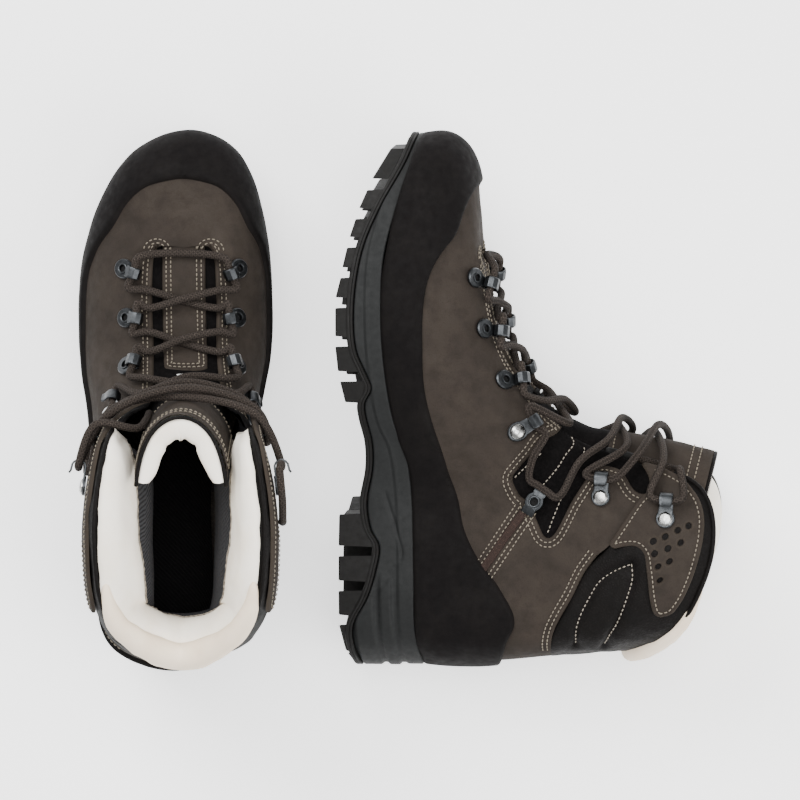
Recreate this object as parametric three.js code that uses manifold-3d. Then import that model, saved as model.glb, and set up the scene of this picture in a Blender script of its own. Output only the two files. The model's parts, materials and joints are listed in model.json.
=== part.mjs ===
// A pair of leather mountaineering boots, EU size 42, in millimetres.
// Each boot is drawn in a frame of its own: +Y to the toe, +Z up from the ground, +X to the inner
// side of the foot, and the back of the heel at y = 0. The left boot stands, and the right boot,
// which is its mirror image, lies on its outer side.
import * as THREE from "three";
import { mergeVertices } from "three/addons/utils/BufferGeometryUtils.js";
import Module from "manifold-3d";

const wasm = await Module();
wasm.setup();

// ---- Driving dimensions ----

const GAP = 0.35; // between neighbouring hard pieces
const GLUE = 1.2; // between curved layers, which are glued together
const SEAT = 0.9; // between the midsole and the upper
const LEATHER = 2.0; // thickness of the vamp and quarter leather
const RAND = 2.2; // thickness of the rubber rand
const LACE_DIAMETER = 4.4;
const BOOT_GAP = 24; // between the two boots
// The lying boot rests on its sole's edge, its heel and its hooks: its shaft points up by LIE_TILT, and
// its toe by LIE_PITCH.
const LIE_TILT = THREE.MathUtils.degToRad(5.05);
const LIE_PITCH = THREE.MathUtils.degToRad(6.7);
const LEFT_REACH = 20; // how far the left boot's shaft leans forward at its front edge
const RIGHT_REACH = 0;
const LEAN_IN = 0.45; // how far a shaft leans to the inner side, as a share of how far it leans forward
const INSTEP_DROP = 8; // how far the forefoot's top lies below the cage that the upper is drawn with
const TREAD_DEPTH = 4; // of the outsole's plate, above its lugs
const BOARD = 2.0; // thickness of the lasting board
const FOOTBED = 4.0;
const SHANK = { width: 18, thickness: 1.6, back: 62, front: 196 };

// ---- Curves ----

const clamp01 = (t) => Math.min(1, Math.max(0, t));
const smooth = (t) => clamp01(t) ** 2 * (3 - 2 * clamp01(t));

// A smooth function through [x, value] points.
function through(points) {
  const slope = points.map((p, i) => {
    const a = points[Math.max(i - 1, 0)];
    const b = points[Math.min(i + 1, points.length - 1)];
    return (b[1] - a[1]) / (b[0] - a[0]);
  });
  return (x) => {
    const last = points.length - 2;
    let i = 0;
    while (i < last && x > points[i + 1][0]) i += 1;
    const [x0, y0] = points[i];
    const [x1, y1] = points[i + 1];
    const w = x1 - x0;
    const t = clamp01((x - x0) / w);
    const h = (1 + 2 * t) * (1 - t) ** 2 * y0 + t * t * (3 - 2 * t) * y1;
    return h + (t * (1 - t) ** 2 * slope[i] - t * t * (1 - t) * slope[i + 1]) * w;
  };
}

// Half the sole's width along its length, before the foot's own skew.
const soleHalfWidth = through([
  [0, 0], [1.5, 11], [5, 20], [18, 31.5], [40, 38], [70, 39.5], [100, 40.5], [130, 44.7], [152, 50.5],
  [171, 53.8], [192, 55.3], [212, 55.4], [237, 53], [259, 48], [275, 41], [289, 32], [300, 21], [306, 13],
  [309, 5], [310, 0],
]);
// Height of the midsole's top edge, where the rand meets it.
const rimHeight = through([
  [0, 47], [8, 46], [30, 43.6], [73, 43], [104, 42], [130, 38.7], [146, 32.5], [174, 28], [205, 26],
  [239, 27], [263, 32.5], [292, 41], [310, 48],
]);
// Height of the outsole's top edge: high at the toe bumper and beside the heel, thin at the waist.
const splitHeight = through([
  [0, 12], [14, 8], [28, 8], [45, 16.5], [60, 21], [74, 23], [84, 18], [99, 16], [119, 19.5], [134, 19.5],
  [148, 16.6], [157, 16], [166, 20], [174, 17.2], [188, 11.5], [207, 10], [228, 11.5], [248, 15.8], [270, 25],
  [293, 37.5], [310, 44],
]);
// Height of the ground side of the lugs: the toe springs up, and the waist stands clear.
const groundCurve = through([
  [0, 9], [10, 3.5], [30, 0], [90, 0], [97, 3], [108, 13], [140, 13], [155, 6], [168, 3], [185, 0],
  [216, 0], [228, 2.6], [242, 5.4], [258, 9.6], [272, 14.5], [286, 20.5], [300, 28.5], [310, 35],
]);

const groundHeight = (y) => Math.max(0, groundCurve(y));

// Sideways skew of the foot: the toe points to the inner side, and the arch is cut in.
const footSkew = (y) =>
  10 * Math.max(0, (y - 215) / 95) ** 2 - 3.5 * Math.exp(-(((y - 105) / 45) ** 2));
// Sideways skew of the lacing, which lies on the inner side of the middle.
const laceSkew = (y) => 6 * smooth((y - 112) / 40);

// ---- The upper's surface ----

// Its cage, from the middle of the toe round one side to the middle of the heel. Each station is a
// cubic Bezier up the boot's side, [x, y, z]: foot line (its z is the rim's), two handles, top line.
const CAGE = [
  [[0, 305], [0, 313, 84], [0, 285, 88.5], [0, 240, 86]],
  [[27, 294], [30, 300, 74], [23, 281, 87.5], [8, 240.5, 87]],
  [[43.5, 264], [48, 266, 60], [37, 257, 85.5], [16.5, 237, 88]],
  [[51, 224], [57, 224, 56], [40, 215, 88], [18.6, 207, 94]],
  [[51, 183], [57, 183, 60], [39, 178, 94], [18.6, 175, 104]],
  [[44, 143], [51, 146, 72], [37, 147, 109], [22, 143, 127]],
  [[39.5, 119], [45, 125, 80], [42, 131, 126], [33, 127, 166]],
  [[37, 95], [40, 103, 90], [48, 112, 150], [41, 110, 207]],
  [[35.5, 58], [37, 58, 90], [53, 62, 150], [47, 74, 214]],
  [[29.5, 21], [32, 14, 90], [43, 20, 140], [38, 30, 195]],
  [[0, 4], [0, -1, 88], [0, 14, 130], [0, 10, 165]],
].map(([[x, y], ...rest]) => [[x, y, rimHeight(y) + SEAT], ...rest]);
const HEEL = CAGE.length - 1; // u runs from -HEEL round the toe at 0 to HEEL, minus being the outer side

const mirrored = (station) => station.map(([x, y, z]) => [-x, y, z]);
const stationAt = (i) => {
  if (i < 0) return mirrored(CAGE[-i]);
  return i > HEEL ? mirrored(CAGE[2 * HEEL - i]) : CAGE[i];
};

// Catmull-Rom weights of four neighbours at t between the middle two.
const blendWeights = (t) => [
  (-t + 2 * t * t - t ** 3) / 2,
  (2 - 5 * t * t + 3 * t ** 3) / 2,
  (t + 4 * t * t - 3 * t ** 3) / 2,
  (-t * t + t ** 3) / 2,
];

// A point of the upper's surface, before the shaft leans: u round the boot, v from foot line to top line.
function basePoint(u, v) {
  const wrapped = u - 2 * HEEL * Math.round(u / (2 * HEEL));
  const side = wrapped < 0 ? -1 : 1;
  const a = Math.abs(wrapped);
  const i = Math.min(Math.floor(a), HEEL - 1);
  const across = blendWeights(a - i);
  const up = [(1 - v) ** 3, 3 * v * (1 - v) ** 2, 3 * v * v * (1 - v), v ** 3];
  const p = [0, 0, 0];
  across.forEach((wa, k) =>
    stationAt(i - 1 + k).forEach((handle, j) =>
      handle.forEach((c, axis) => {
        p[axis] += wa * up[j] * c;
      }),
    ),
  );
  const skew = footSkew(p[1]) * (1 - v) + laceSkew(p[1]) * v;
  return new THREE.Vector3(side * p[0] + skew, p[1], p[2]);
}

// The shaft's front edge leans forward by reach, its back stays, and all of it leans inward. The
// forefoot's top is let down onto the foot.
const lean = (p, reach) => {
  const high = smooth((p.z - 70) / 100);
  const forward = reach * high * smooth((p.y - 50) / 70);
  const drop = INSTEP_DROP * smooth((p.y - 130) / 70) * smooth((p.z - 38) / 50);
  return new THREE.Vector3(p.x + reach * LEAN_IN * high, p.y + forward, p.z - drop);
};

// A point of a surface that is given as a function, moved out along its normal.
function offsetPoint(surface, u, v, offset) {
  const e = 0.01;
  const du = surface(u + e, v).sub(surface(u - e, v));
  const dv = surface(u, v + e).sub(surface(u, v - e));
  const normal = dv.cross(du).normalize();
  return surface(u, v).addScaledVector(normal, offset);
}

const upperSurface = (reach) => (u, v) => lean(basePoint(u, v), reach);

// The u and v of the point at height z and length y on one side of the upper.
function locate(y, z, side) {
  let best = [5, 0.5];
  let least = Infinity;
  for (let i = 0; i <= 60; i += 1)
    for (let j = 0; j <= 20; j += 1) {
      const p = basePoint((i * HEEL) / 60, j / 20);
      const d = (p.y - y) ** 2 + (p.z - z) ** 2;
      if (d < least) {
        least = d;
        best = [(i * HEEL) / 60, j / 20];
      }
    }
  for (let k = 0; k < 8; k += 1) {
    const e = 0.01;
    const [u, v] = best;
    const p = basePoint(u, v);
    const pu = basePoint(u + e, v).sub(p).divideScalar(e);
    const pv = basePoint(u, v + e).sub(p).divideScalar(e);
    const det = pu.y * pv.z - pu.z * pv.y;
    const ry = y - p.y;
    const rz = z - p.z;
    best = [u + (ry * pv.z - rz * pv.y) / det, v + (rz * pu.y - ry * pu.z) / det];
  }
  return [side * best[0], best[1]];
}

// ---- Solids ----

// A closed mesh from points and triangles, facing out.
function closedMesh(points, triangles) {
  let volume = 0;
  for (const [a, b, c] of triangles)
    volume += points[a].dot(new THREE.Vector3().crossVectors(points[b], points[c]));
  const index = triangles.flatMap(([a, b, c]) => (volume < 0 ? [a, c, b] : [a, b, c]));
  const geometry = new THREE.BufferGeometry().setFromPoints(points);
  return geometry.setIndex(index);
}

// A sheet with thickness: grid(s, t, face) gives its outer (face 1) and inner (face 0) points, for s
// and t from 0 to 1. With loop, s = 1 joins s = 0.
function sheet(grid, columns, rows, loop = false) {
  const points = [];
  const triangles = [];
  const across = loop ? columns : columns + 1;
  const id = (i, j, face) => (face * (rows + 1) + j) * across + (loop ? i % columns : i);
  const quad = (a, b, c, d) => triangles.push([a, b, c], [a, c, d]);
  for (const face of [0, 1])
    for (let j = 0; j <= rows; j += 1)
      for (let i = 0; i < across; i += 1) points.push(grid(i / columns, j / rows, face));
  for (let j = 0; j < rows; j += 1)
    for (let i = 0; i < columns; i += 1) {
      quad(id(i, j, 1), id(i + 1, j, 1), id(i + 1, j + 1, 1), id(i, j + 1, 1));
      quad(id(i, j, 0), id(i, j + 1, 0), id(i + 1, j + 1, 0), id(i + 1, j, 0));
    }
  for (let i = 0; i < columns; i += 1) {
    quad(id(i, 0, 0), id(i + 1, 0, 0), id(i + 1, 0, 1), id(i, 0, 1));
    quad(id(i, rows, 1), id(i + 1, rows, 1), id(i + 1, rows, 0), id(i, rows, 0));
  }
  if (!loop)
    for (let j = 0; j < rows; j += 1) {
      quad(id(0, j, 0), id(0, j, 1), id(0, j + 1, 1), id(0, j + 1, 0));
      quad(id(columns, j, 1), id(columns, j, 0), id(columns, j + 1, 0), id(columns, j + 1, 1));
    }
  return closedMesh(points, triangles);
}

// Where the upper's layers have their columns, by u: close together round the toe and the heel.
const KNOTS = [
  0, 0.4, 0.8, 1.2, 1.6, 2.1, 2.7, 3.4, 4.2, 5, 5.5, 6, 6.6, 7.2, 7.8, 8.2, 8.6, 9, 9.4, 9.7, 10,
];
const RING_KNOTS = [...KNOTS.slice(1).map((u) => -u).reverse(), ...KNOTS.slice(0, -1)];

// The columns from one u to another, which may run past the heel to the other side.
function columnsBetween(from, to) {
  const every = RING_KNOTS.flatMap((u) => [u, u + 2 * HEEL]);
  const inside = every.filter((u) => u > from + 0.12 && u < to - 0.12).sort((a, b) => a - b);
  return [from, ...inside, to];
}

// A panel of the upper over the columns us, from v = low(u) to high(u). Its faces are moved out from
// the surface by out and in, each a number or a function of (u, v), and it stays above the midsole.
function panel(reach, us, rows, low, high, out, inside, loop = false) {
  const surface = upperSurface(reach);
  const at = (value, ...uv) => (typeof value === "function" ? value(...uv) : value);
  const columns = loop ? us.length : us.length - 1;
  return sheet(
    (s, t, face) => {
      const u = us[Math.round(s * columns) % us.length];
      const station = Math.abs(u) > HEEL ? 2 * HEEL - Math.abs(u) : Math.abs(u);
      const v = at(low, station) + (at(high, station) - at(low, station)) * t;
      const p = offsetPoint(surface, u, v, at(face ? out : inside, station, v));
      p.z = Math.max(p.z, rimHeight(p.y) + SEAT);
      return p;
    },
    columns,
    rows,
    loop,
  );
}

// A slab that follows the sole's outline, inset, between two heights given along the length.
function slab(inset, [back, front], rows, columns, low, high) {
  return sheet(
    (s, t, face) => {
      const y = back + (front - back) * (0.35 * t + 0.325 * (1 - Math.cos(Math.PI * t)));
      const half = Math.max(soleHalfWidth(y) - inset, 3);
      const across = 2 * s - 1;
      return new THREE.Vector3(across * half + footSkew(y), y, face ? high(y, across) : low(y, across));
    },
    columns,
    rows,
  );
}

function toSolid(geometry) {
  const bare = new THREE.BufferGeometry().setAttribute("position", geometry.getAttribute("position"));
  if (geometry.index) bare.setIndex(geometry.index);
  const merged = mergeVertices(bare, 1e-4);
  return new wasm.Manifold(
    new wasm.Mesh({
      numProp: 3,
      vertProperties: new Float32Array(merged.attributes.position.array),
      triVerts: new Uint32Array(merged.index.array),
    }),
  );
}

function fromSolid(solid) {
  const mesh = solid.getMesh();
  const geometry = new THREE.BufferGeometry();
  geometry.setAttribute("position", new THREE.BufferAttribute(mesh.vertProperties, 3));
  return geometry.setIndex(new THREE.BufferAttribute(mesh.triVerts, 1));
}

const joined = (geometries) =>
  fromSolid(geometries.map(toSolid).reduce((whole, next) => whole.add(next)));
const cutFrom = (whole, cutter) => fromSolid(toSolid(whole).subtract(toSolid(cutter)));

// A round cord along points.
function tube(points, diameter, sides = 8, stepLength = 2.3 * diameter) {
  const curve = new THREE.CatmullRomCurve3(points, false, "centripetal");
  const section = new THREE.Shape();
  for (let k = 0; k < sides; k += 1) {
    const a = (2 * Math.PI * k) / sides;
    const [x, y] = [(diameter / 2) * Math.cos(a), (diameter / 2) * Math.sin(a)];
    if (k === 0) section.moveTo(x, y);
    else section.lineTo(x, y);
  }
  section.closePath();
  const steps = Math.ceil(curve.getLength() / stepLength);
  const tubeGeometry = new THREE.ExtrudeGeometry(section, { steps, extrudePath: curve });
  return bareGeometry(tubeGeometry);
}

// Only the positions, with shared vertices merged.
function bareGeometry(geometry) {
  const bare = new THREE.BufferGeometry().setAttribute("position", geometry.getAttribute("position"));
  if (geometry.index) bare.setIndex(geometry.index);
  return mergeVertices(bare, 1e-4);
}

// ---- Sole ----

// One lug: its four corners on the ground side, [share of the half width, y], and its root in the plate.
function lug(corners) {
  const root = (y) => splitHeight(y) - TREAD_DEPTH / 2;
  const point = ([share, y], z) =>
    new THREE.Vector3(share * Math.max(soleHalfWidth(y) - 1.2, 2) + footSkew(y), y, z);
  const low = corners.map((c) => point(c, groundHeight(c[1])));
  const high = corners.map((c) => point(c, root(c[1])));
  const triangles = [[0, 2, 1], [0, 3, 2], [4, 5, 6], [4, 6, 7]];
  for (let k = 0; k < 4; k += 1) {
    const n = (k + 1) % 4;
    triangles.push([k, n, 4 + n], [k, 4 + n, 4 + k]);
  }
  return closedMesh([...low, ...high], triangles);
}

// Lugs along both edges, as [back, front] stretches, and across the middle.
const EDGE_LUGS = [
  [12, 28], [34, 48], [54, 68], [74, 92], [158, 170], [176, 190], [196, 212], [218, 229], [235, 246],
  [252, 262], [268, 278],
];
const MIDDLE_LUGS = [[38, 50], [58, 70], [78, 88], [170, 182], [190, 202], [210, 221], [229, 239], [247, 256], [264, 273]];
const TOE_LUGS = [[284, 300]];
const HEEL_LUGS = [[3, 9]];

const SOLE_ENDS = [1.2, 308.8];
const SOLE_ROWS = 30;
function outsole() {
  const plate = slab(0, SOLE_ENDS, SOLE_ROWS, 2, (y) => splitHeight(y) - TREAD_DEPTH, splitHeight);
  const pieces = [plate];
  for (const [back, front] of EDGE_LUGS)
    for (const side of [-1, 1])
      pieces.push(lug([[side, back], [side, front], [side * 0.5, front - 5], [side * 0.42, back - 2]]));
  for (const [back, front] of MIDDLE_LUGS)
    pieces.push(lug([[-0.3, back], [-0.24, front], [0.24, front], [0.3, back]]));
  for (const [back, front] of [...TOE_LUGS, ...HEEL_LUGS])
    pieces.push(lug([[-0.9, back], [-0.8, front], [0.8, front], [0.9, back]]));
  return joined(pieces);
}

const shankTop = (y) => rimHeight(y) - 0.1;

// The shank's strip, or with grow the recess in the midsole that takes it.
function shankStrip(grow) {
  const { width, thickness, back, front } = SHANK;
  return sheet(
    (s, t, face) => {
      const y = back - grow + (front - back + 2 * grow) * t;
      const x = (s - 0.5) * (width + 2 * grow) + footSkew(y);
      const top = grow ? shankTop(y) + 4 : shankTop(y);
      return new THREE.Vector3(x, y, face ? top : shankTop(y) - thickness - grow);
    },
    1,
    10,
  );
}

const midsole = () =>
  cutFrom(slab(0.6, SOLE_ENDS, SOLE_ROWS, 2, (y) => splitHeight(y) + GAP, rimHeight), shankStrip(GAP));

const BOARD_ENDS = [15, 290];
const BOARD_ROWS = 14;
const boardTop = (y) => rimHeight(y) + GLUE + BOARD;
const lastingBoard = () => slab(11, BOARD_ENDS, BOARD_ROWS, 2, (y) => rimHeight(y) + GLUE, boardTop);
// The footbed is cupped at its edge.
function footbed() {
  const under = (y, across) => boardTop(y) + GAP + 3 * across ** 4;
  return slab(15.5, BOARD_ENDS, BOARD_ROWS, 4, under, (y, across) => under(y, across) + FOOTBED);
}

// ---- Upper ----

// The rand's top edge as a share v of the way up, by u from the toe (0) to the heel, on both sides.
const randTop = through([
  [0, 0.66], [0.6, 0.665], [1.04, 0.65], [1.6, 0.62], [2.1, 0.57], [2.5, 0.41], [2.8, 0.325], [3.2, 0.28],
  [3.8, 0.25], [4.5, 0.2], [5.3, 0.185], [6.3, 0.168], [7, 0.175], [7.4, 0.19], [7.8, 0.245], [8.2, 0.325],
  [8.6, 0.386], [9, 0.361], [10, 0.352],
]);
const SEAM = 6; // u of the seam between vamp and quarter
const PAD_START = 6.6; // u where the padded collar begins
const roundHeel = (start) => columnsBetween(start, 2 * HEEL - start);
// The padded collar's lower edge, by u.
const padLow = through([
  [6.6, 0.985], [7, 0.9], [7.4, 0.76], [7.8, 0.68], [8, 0.632], [8.44, 0.583], [8.9, 0.545], [9.4, 0.565], [10, 0.61],
]);
// The padded collar swells between its edges.
const padSwell = (u, v) => {
  const share = clamp01((v - padLow(u)) / (1 - padLow(u)));
  return 3 * Math.sin(Math.PI * share) * smooth((u - PAD_START) / 1.2);
};

const RAND_STANDOFF = GLUE + 0.2; // of the rand's inner face from the leather's outer face
const rand = (reach) => panel(reach, RING_KNOTS, 4, 0, randTop, RAND_STANDOFF + RAND, RAND_STANDOFF, true);

// The tongue, from the front of the throat (b = 0) to its top (b = 1), with a across it.
const TONGUE_SPINE = new THREE.CatmullRomCurve3(
  [
    [246, 86], [226, 89.2], [207, 93.5], [182, 101], [164, 110.5], [150, 122], [141, 140], [136, 163],
    [131, 190], [125, 216],
  ].map(([y, z]) => new THREE.Vector3(0, y, z)),
);
const TONGUE_BEND = 0.47; // b of the ankle bend, where the free flap begins
const tongueHalf = through([[0, 20], [0.3, 21], [0.47, 23], [0.7, 25], [1, 26]]);
const tongueDepth = through([[0, 1.2], [0.35, 1.4], [0.47, 8], [0.7, 30], [1, 42]]);
const tongueThickness = through([[0, 3], [0.4, 4], [0.7, 6], [1, 8]]);
function tongueBase(a, b) {
  const middle = TONGUE_SPINE.getPoint(clamp01(b));
  const along = TONGUE_SPINE.getTangent(clamp01(b));
  const inward = new THREE.Vector3(0, -Math.abs(along.z), -Math.abs(along.y)).normalize();
  const angle = a * THREE.MathUtils.degToRad(78);
  const p = middle.addScaledVector(inward, tongueDepth(b) * (1 - Math.cos(angle)));
  p.x = tongueHalf(b) * Math.sin(angle);
  p.x += laceSkew(middle.y) * (1 - 0.6 * smooth((b - 0.5) / 0.5));
  return p;
}
const tongueSurface = (reach) => (a, b) => lean(tongueBase(a, b), reach);
const tonguePiece = (reach, from, to, columns, rows) =>
  sheet(
    (s, t, face) => {
      const b = from + (to - from) * t;
      const offset = face ? 0 : -tongueThickness(b);
      return offsetPoint(tongueSurface(reach), 2 * s - 1, b, offset);
    },
    columns,
    rows,
  );

// The lower tongue is sewn to the vamp, so the two are one solid.
const vamp = (reach) =>
  joined([
    panel(reach, columnsBetween(-SEAM, SEAM), 7, 0, 1, 0, -LEATHER),
    sheet(
      (s, t, face) => {
        const b = 0.01 + (TONGUE_BEND - 0.05) * t;
        return offsetPoint(tongueSurface(reach), (2 * s - 1) * 1.05, b, face ? -0.3 : -2.8);
      },
      4,
      7,
    ),
  ]);
const quarter = (reach) =>
  panel(reach, roundHeel(SEAM + 0.03), 7, 0, (u) => padLow(u) - 0.005, 0, -LEATHER);
const collarPad = (reach) => panel(reach, roundHeel(PAD_START), 4, padLow, 1, padSwell, -LEATHER);
const COUNTER = 1.4;
const counterOut = -LEATHER - 0.6;
const heelCounter = (reach) => panel(reach, roundHeel(7.2), 3, 0.03, 0.4, counterOut, counterOut - COUNTER);
const LINER = 1.6;
const linerOut = counterOut - COUNTER - 0.6;
const linerTop = through([[0, 0.9], [4.2, 0.88], [5, 0.82], [5.5, 0.75], [6, 0.7], [10, 0.7]]);
const sockLiner = (reach) => panel(reach, RING_KNOTS, 4, 0.03, linerTop, linerOut, linerOut - LINER, true);
// The collar's padded lining, inside the quarter.
const liningDepth = through([[6.6, 8], [7.4, 13], [8.4, 17], [10, 17]]);
const LINING_LOW = 0.745;
const collarLining = (reach) =>
  panel(reach, roundHeel(6.6), 5, LINING_LOW, 0.995, -LEATHER - 2, (u, v) => {
    const bulge = Math.sin(Math.PI * clamp01((v - LINING_LOW) / (1 - LINING_LOW))) ** 0.5;
    return -LEATHER - 4 - (liningDepth(u) - 3) * bulge;
  });
// The cuff's overlay: a flap at the front, with a band along the collar to the back.
const OVERLAY = 1.6;
const OVERLAY_LIFT = 1.6;
const overlayLow = through([[6.3, 0.93], [6.8, 0.85], [7.18, 0.8], [7.5, 0.735], [7.8, 0.69], [8, 0.8], [8.8, 0.885]]);
function overlay(reach, side) {
  const us = columnsBetween(6.35, 8.8);
  const lifted = (extra) => (u, v) => padSwell(u, v) + extra;
  const across = side > 0 ? us : us.map((u) => -u).reverse();
  return panel(reach, across, 4, overlayLow, 0.965, lifted(OVERLAY_LIFT + OVERLAY), lifted(OVERLAY_LIFT));
}

// ---- Hardware ----

// The frame of a fitting at a place on the upper: y is the way it points, which is up to the lacing
// turned forward by an angle, z points out, and x lies across.
function fittingFrame(reach, { at, turn, lift }, side) {
  const surface = upperSurface(reach);
  const [u, v] = locate(...at, side);
  const e = 0.02;
  const origin = offsetPoint(surface, u, v, lift);
  const normal = origin.clone().sub(surface(u, v)).normalize();
  const flat = (p) => p.addScaledVector(normal, -p.dot(normal)).normalize();
  const up = flat(surface(u, v + e).sub(surface(u, v - e)));
  const forward = new THREE.Vector3().crossVectors(up, normal).multiplyScalar(side);
  const angle = THREE.MathUtils.degToRad(turn);
  const pointing = up.multiplyScalar(Math.cos(angle)).addScaledVector(forward, Math.sin(angle));
  const across = new THREE.Vector3().crossVectors(pointing, normal);
  return new THREE.Matrix4().makeBasis(across, pointing, normal).setPosition(origin);
}

// A fitting bent from strip: a profile in the plane of its y and z, as wide as width along x.
function stripFitting(profile, holes, width) {
  const shape = new THREE.Shape(profile.map(([y, z]) => new THREE.Vector2(y, z)));
  for (const hole of holes) shape.holes.push(new THREE.Path(hole.map(([y, z]) => new THREE.Vector2(y, z))));
  const geometry = new THREE.ExtrudeGeometry(shape, { depth: width, bevelEnabled: false });
  geometry.translate(0, 0, -width / 2);
  // The shape's x, y and depth become the fitting's y, z and x.
  geometry.applyMatrix4(new THREE.Matrix4().makeBasis(
    new THREE.Vector3(0, 1, 0),
    new THREE.Vector3(0, 0, 1),
    new THREE.Vector3(1, 0, 0),
  ));
  return bareGeometry(geometry);
}

const arc = (cy, cz, r, from, to, n) =>
  Array.from({ length: n + 1 }, (_, k) => {
    const a = THREE.MathUtils.degToRad(from + ((to - from) * k) / n);
    return [cy + r * Math.cos(a), cz + r * Math.sin(a)];
  });

const EYE = { y: 9.5, z: 4.7, hole: 3.3, wall: 1.2, width: 6.5 }; // an eyelet's tube for the lace
const CURL = { y: 10, z: 4.9, inner: 3.3, wall: 1.2 }; // the curl of a hook

// A flat ring or disc, in the plane of x and y.
function disc(halfWidth, halfLength, thickness, hole = 0) {
  const outline = (a, b) =>
    Array.from({ length: 8 }, (_, k) => {
      const t = (Math.PI * (2 * k + 1)) / 8;
      return new THREE.Vector2(a * Math.cos(t), b * Math.sin(t));
    });
  const shape = new THREE.Shape(outline(halfWidth, halfLength));
  if (hole) shape.holes.push(new THREE.Path(outline(hole, hole)));
  return bareGeometry(new THREE.ExtrudeGeometry(shape, { depth: thickness, bevelEnabled: false }));
}

// A closed eyelet: a ring that is riveted or held by webbing, and a tube in front of it for the lace.
function eyelet() {
  const { y, z, hole, wall, width } = EYE;
  const profile = [[4, 0], [y, 0], ...arc(y, z, hole + wall, -60, 150, 6), [y - 5, 1.5], [4, 1.5]];
  const tubePart = stripFitting(profile, [arc(y, z, hole, 0, 300, 5)], width);
  return joined([tubePart, disc(5.6, 6, 1.5, 2.6)]);
}

// An open hook: a riveted foot, and a neck in front that curls back over the lace.
function hook(width, footLength) {
  const { y, z, inner, wall } = CURL;
  const outside = arc(y, z, inner + wall, -75, 95, 7);
  const insideCurl = arc(y, z, inner, 95, -80, 6);
  const lip = [[y - 4.5, z + inner + wall - 0.2], [y - 4.5, z + inner - 0.6]];
  const profile = [[2, 0], ...outside, ...lip, ...insideCurl, [2, 1.4]];
  return joined([stripFitting(profile, [], width), disc(5.6, footLength / 2, 1.4)]);
}

const throughEye = { y: EYE.y, z: EYE.z, half: EYE.width / 2, turned: 0 };
const throughCurl = (width) => ({ y: CURL.y, z: CURL.z, half: width / 2, turned: 2 });

// Each fitting: the place of its rivet on a side, as [y, z] of the standing boot, the way it points,
// how far it stands off the leather, and where the lace passes.
const FITTINGS = {
  eyelet_1: { at: [228, 84.5], turn: 0, lift: 1.5, make: eyelet, lacePass: throughEye },
  eyelet_2: { at: [199, 90], turn: 0, lift: 1.5, make: eyelet, lacePass: throughEye },
  eyelet_3: { at: [169.5, 98.5], turn: 0, lift: 1.5, make: eyelet, lacePass: throughEye },
  locking_hook: { at: [141, 103], turn: 30, lift: 1.1, make: () => hook(7, 13), lacePass: throughCurl(7) },
  lock_ring: { at: [101.5, 112.5], turn: 50, lift: 1.6, make: eyelet, lacePass: throughEye },
  speed_hook_1: { at: [105, 150], turn: 82, lift: 0.9, make: () => hook(7, 11), lacePass: throughCurl(7) },
  speed_hook_2: { at: [93, 187], turn: 82, lift: 5.9, make: () => hook(7, 11), lacePass: throughCurl(7) },
};
const sideName = (side) => (side > 0 ? "inner" : "outer");

// ---- Lace ----

const TURN_OUT = 5.6; // how far the lace runs straight out of a fitting before it turns
// The lace's points through a fitting on a side, in the order that it climbs.
function pass(reach, name, side) {
  const fitting = FITTINGS[name];
  const frame = fittingFrame(reach, fitting, side);
  const { y, z, half, turned } = fitting.lacePass;
  const point = (across, forward) => new THREE.Vector3(-across * side, y + forward, z).applyMatrix4(frame);
  return [
    point(-half - TURN_OUT, turned), point(-half - 0.2, 0), point(half + 0.2, 0), point(half + TURN_OUT, turned),
  ];
}

// The point over the middle of the tongue nearest to p, at a height above it.
function overTongue(reach, p, height) {
  const surface = tongueSurface(reach);
  let best = 0;
  let least = Infinity;
  for (let k = 0; k <= 90; k += 1) {
    const q = surface(0, k / 90);
    const d = (q.y - p.y) ** 2 + (q.z - p.z) ** 2;
    if (d < least) {
      least = d;
      best = k / 90;
    }
  }
  return offsetPoint(surface, 0, best, height);
}

const OVER_FACING = 5; // height of the lace's middle line where it crosses the throat's edge
const OVER_CUFF = 6.8; // and where it crosses the cuff's front edge
// The lace's crossing from one side to the other: over the facing's edge at u = from, over the tongue
// at a height, and over the other edge at u = to.
function crossing(reach, side, from, to, height) {
  const surface = upperSurface(reach);
  const lift = (u) => (u > SEAM ? OVER_CUFF : OVER_FACING);
  const start = offsetPoint(surface, side * from, 0.985, lift(from));
  const end = offsetPoint(surface, -side * to, 0.985, lift(to));
  const middle = start.clone().add(end).multiplyScalar(0.5);
  return [start, overTongue(reach, middle, height), end];
}

// A point over one side of the upper, as [y, z] of the standing boot.
const over = (reach, side, y, z, lift) => offsetPoint(upperSurface(reach), ...locate(y, z, side), lift);

const UNDER = 3.2; // height of the lower strand's middle line over the tongue
const ABOVE = 8.4; // and of the strand that crosses it

// One half of the lace, from the first eyelet on a side to its end.
function halfLace(reach, side, first, loose) {
  const other = -side;
  const height = (turn) => ((turn + first) % 2 ? ABOVE : UNDER);
  return [
    ...pass(reach, "eyelet_1", side),
    ...crossing(reach, side, 2.82, 3.15, height(0)),
    ...pass(reach, "eyelet_2", other),
    ...crossing(reach, other, 3.62, 4.05, height(1)),
    ...pass(reach, "eyelet_3", side),
    ...crossing(reach, side, 4.6, 5.1, height(0)),
    ...pass(reach, "locking_hook", other),
    over(reach, other, 127, 111.5, 5),
    ...pass(reach, "lock_ring", other),
    over(reach, other, 106, 128, 4.6),
    over(reach, other, 124, 138, 4.2),
    ...crossing(reach, other, 5.7, 5.95, height(1)),
    ...pass(reach, "speed_hook_1", side),
    ...crossing(reach, side, 6.15, 6.45, height(0)),
    ...pass(reach, "speed_hook_2", other),
    ...(loose ? looseEnd(reach, other) : tuckedEnd(reach, other)),
  ];
}

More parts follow.
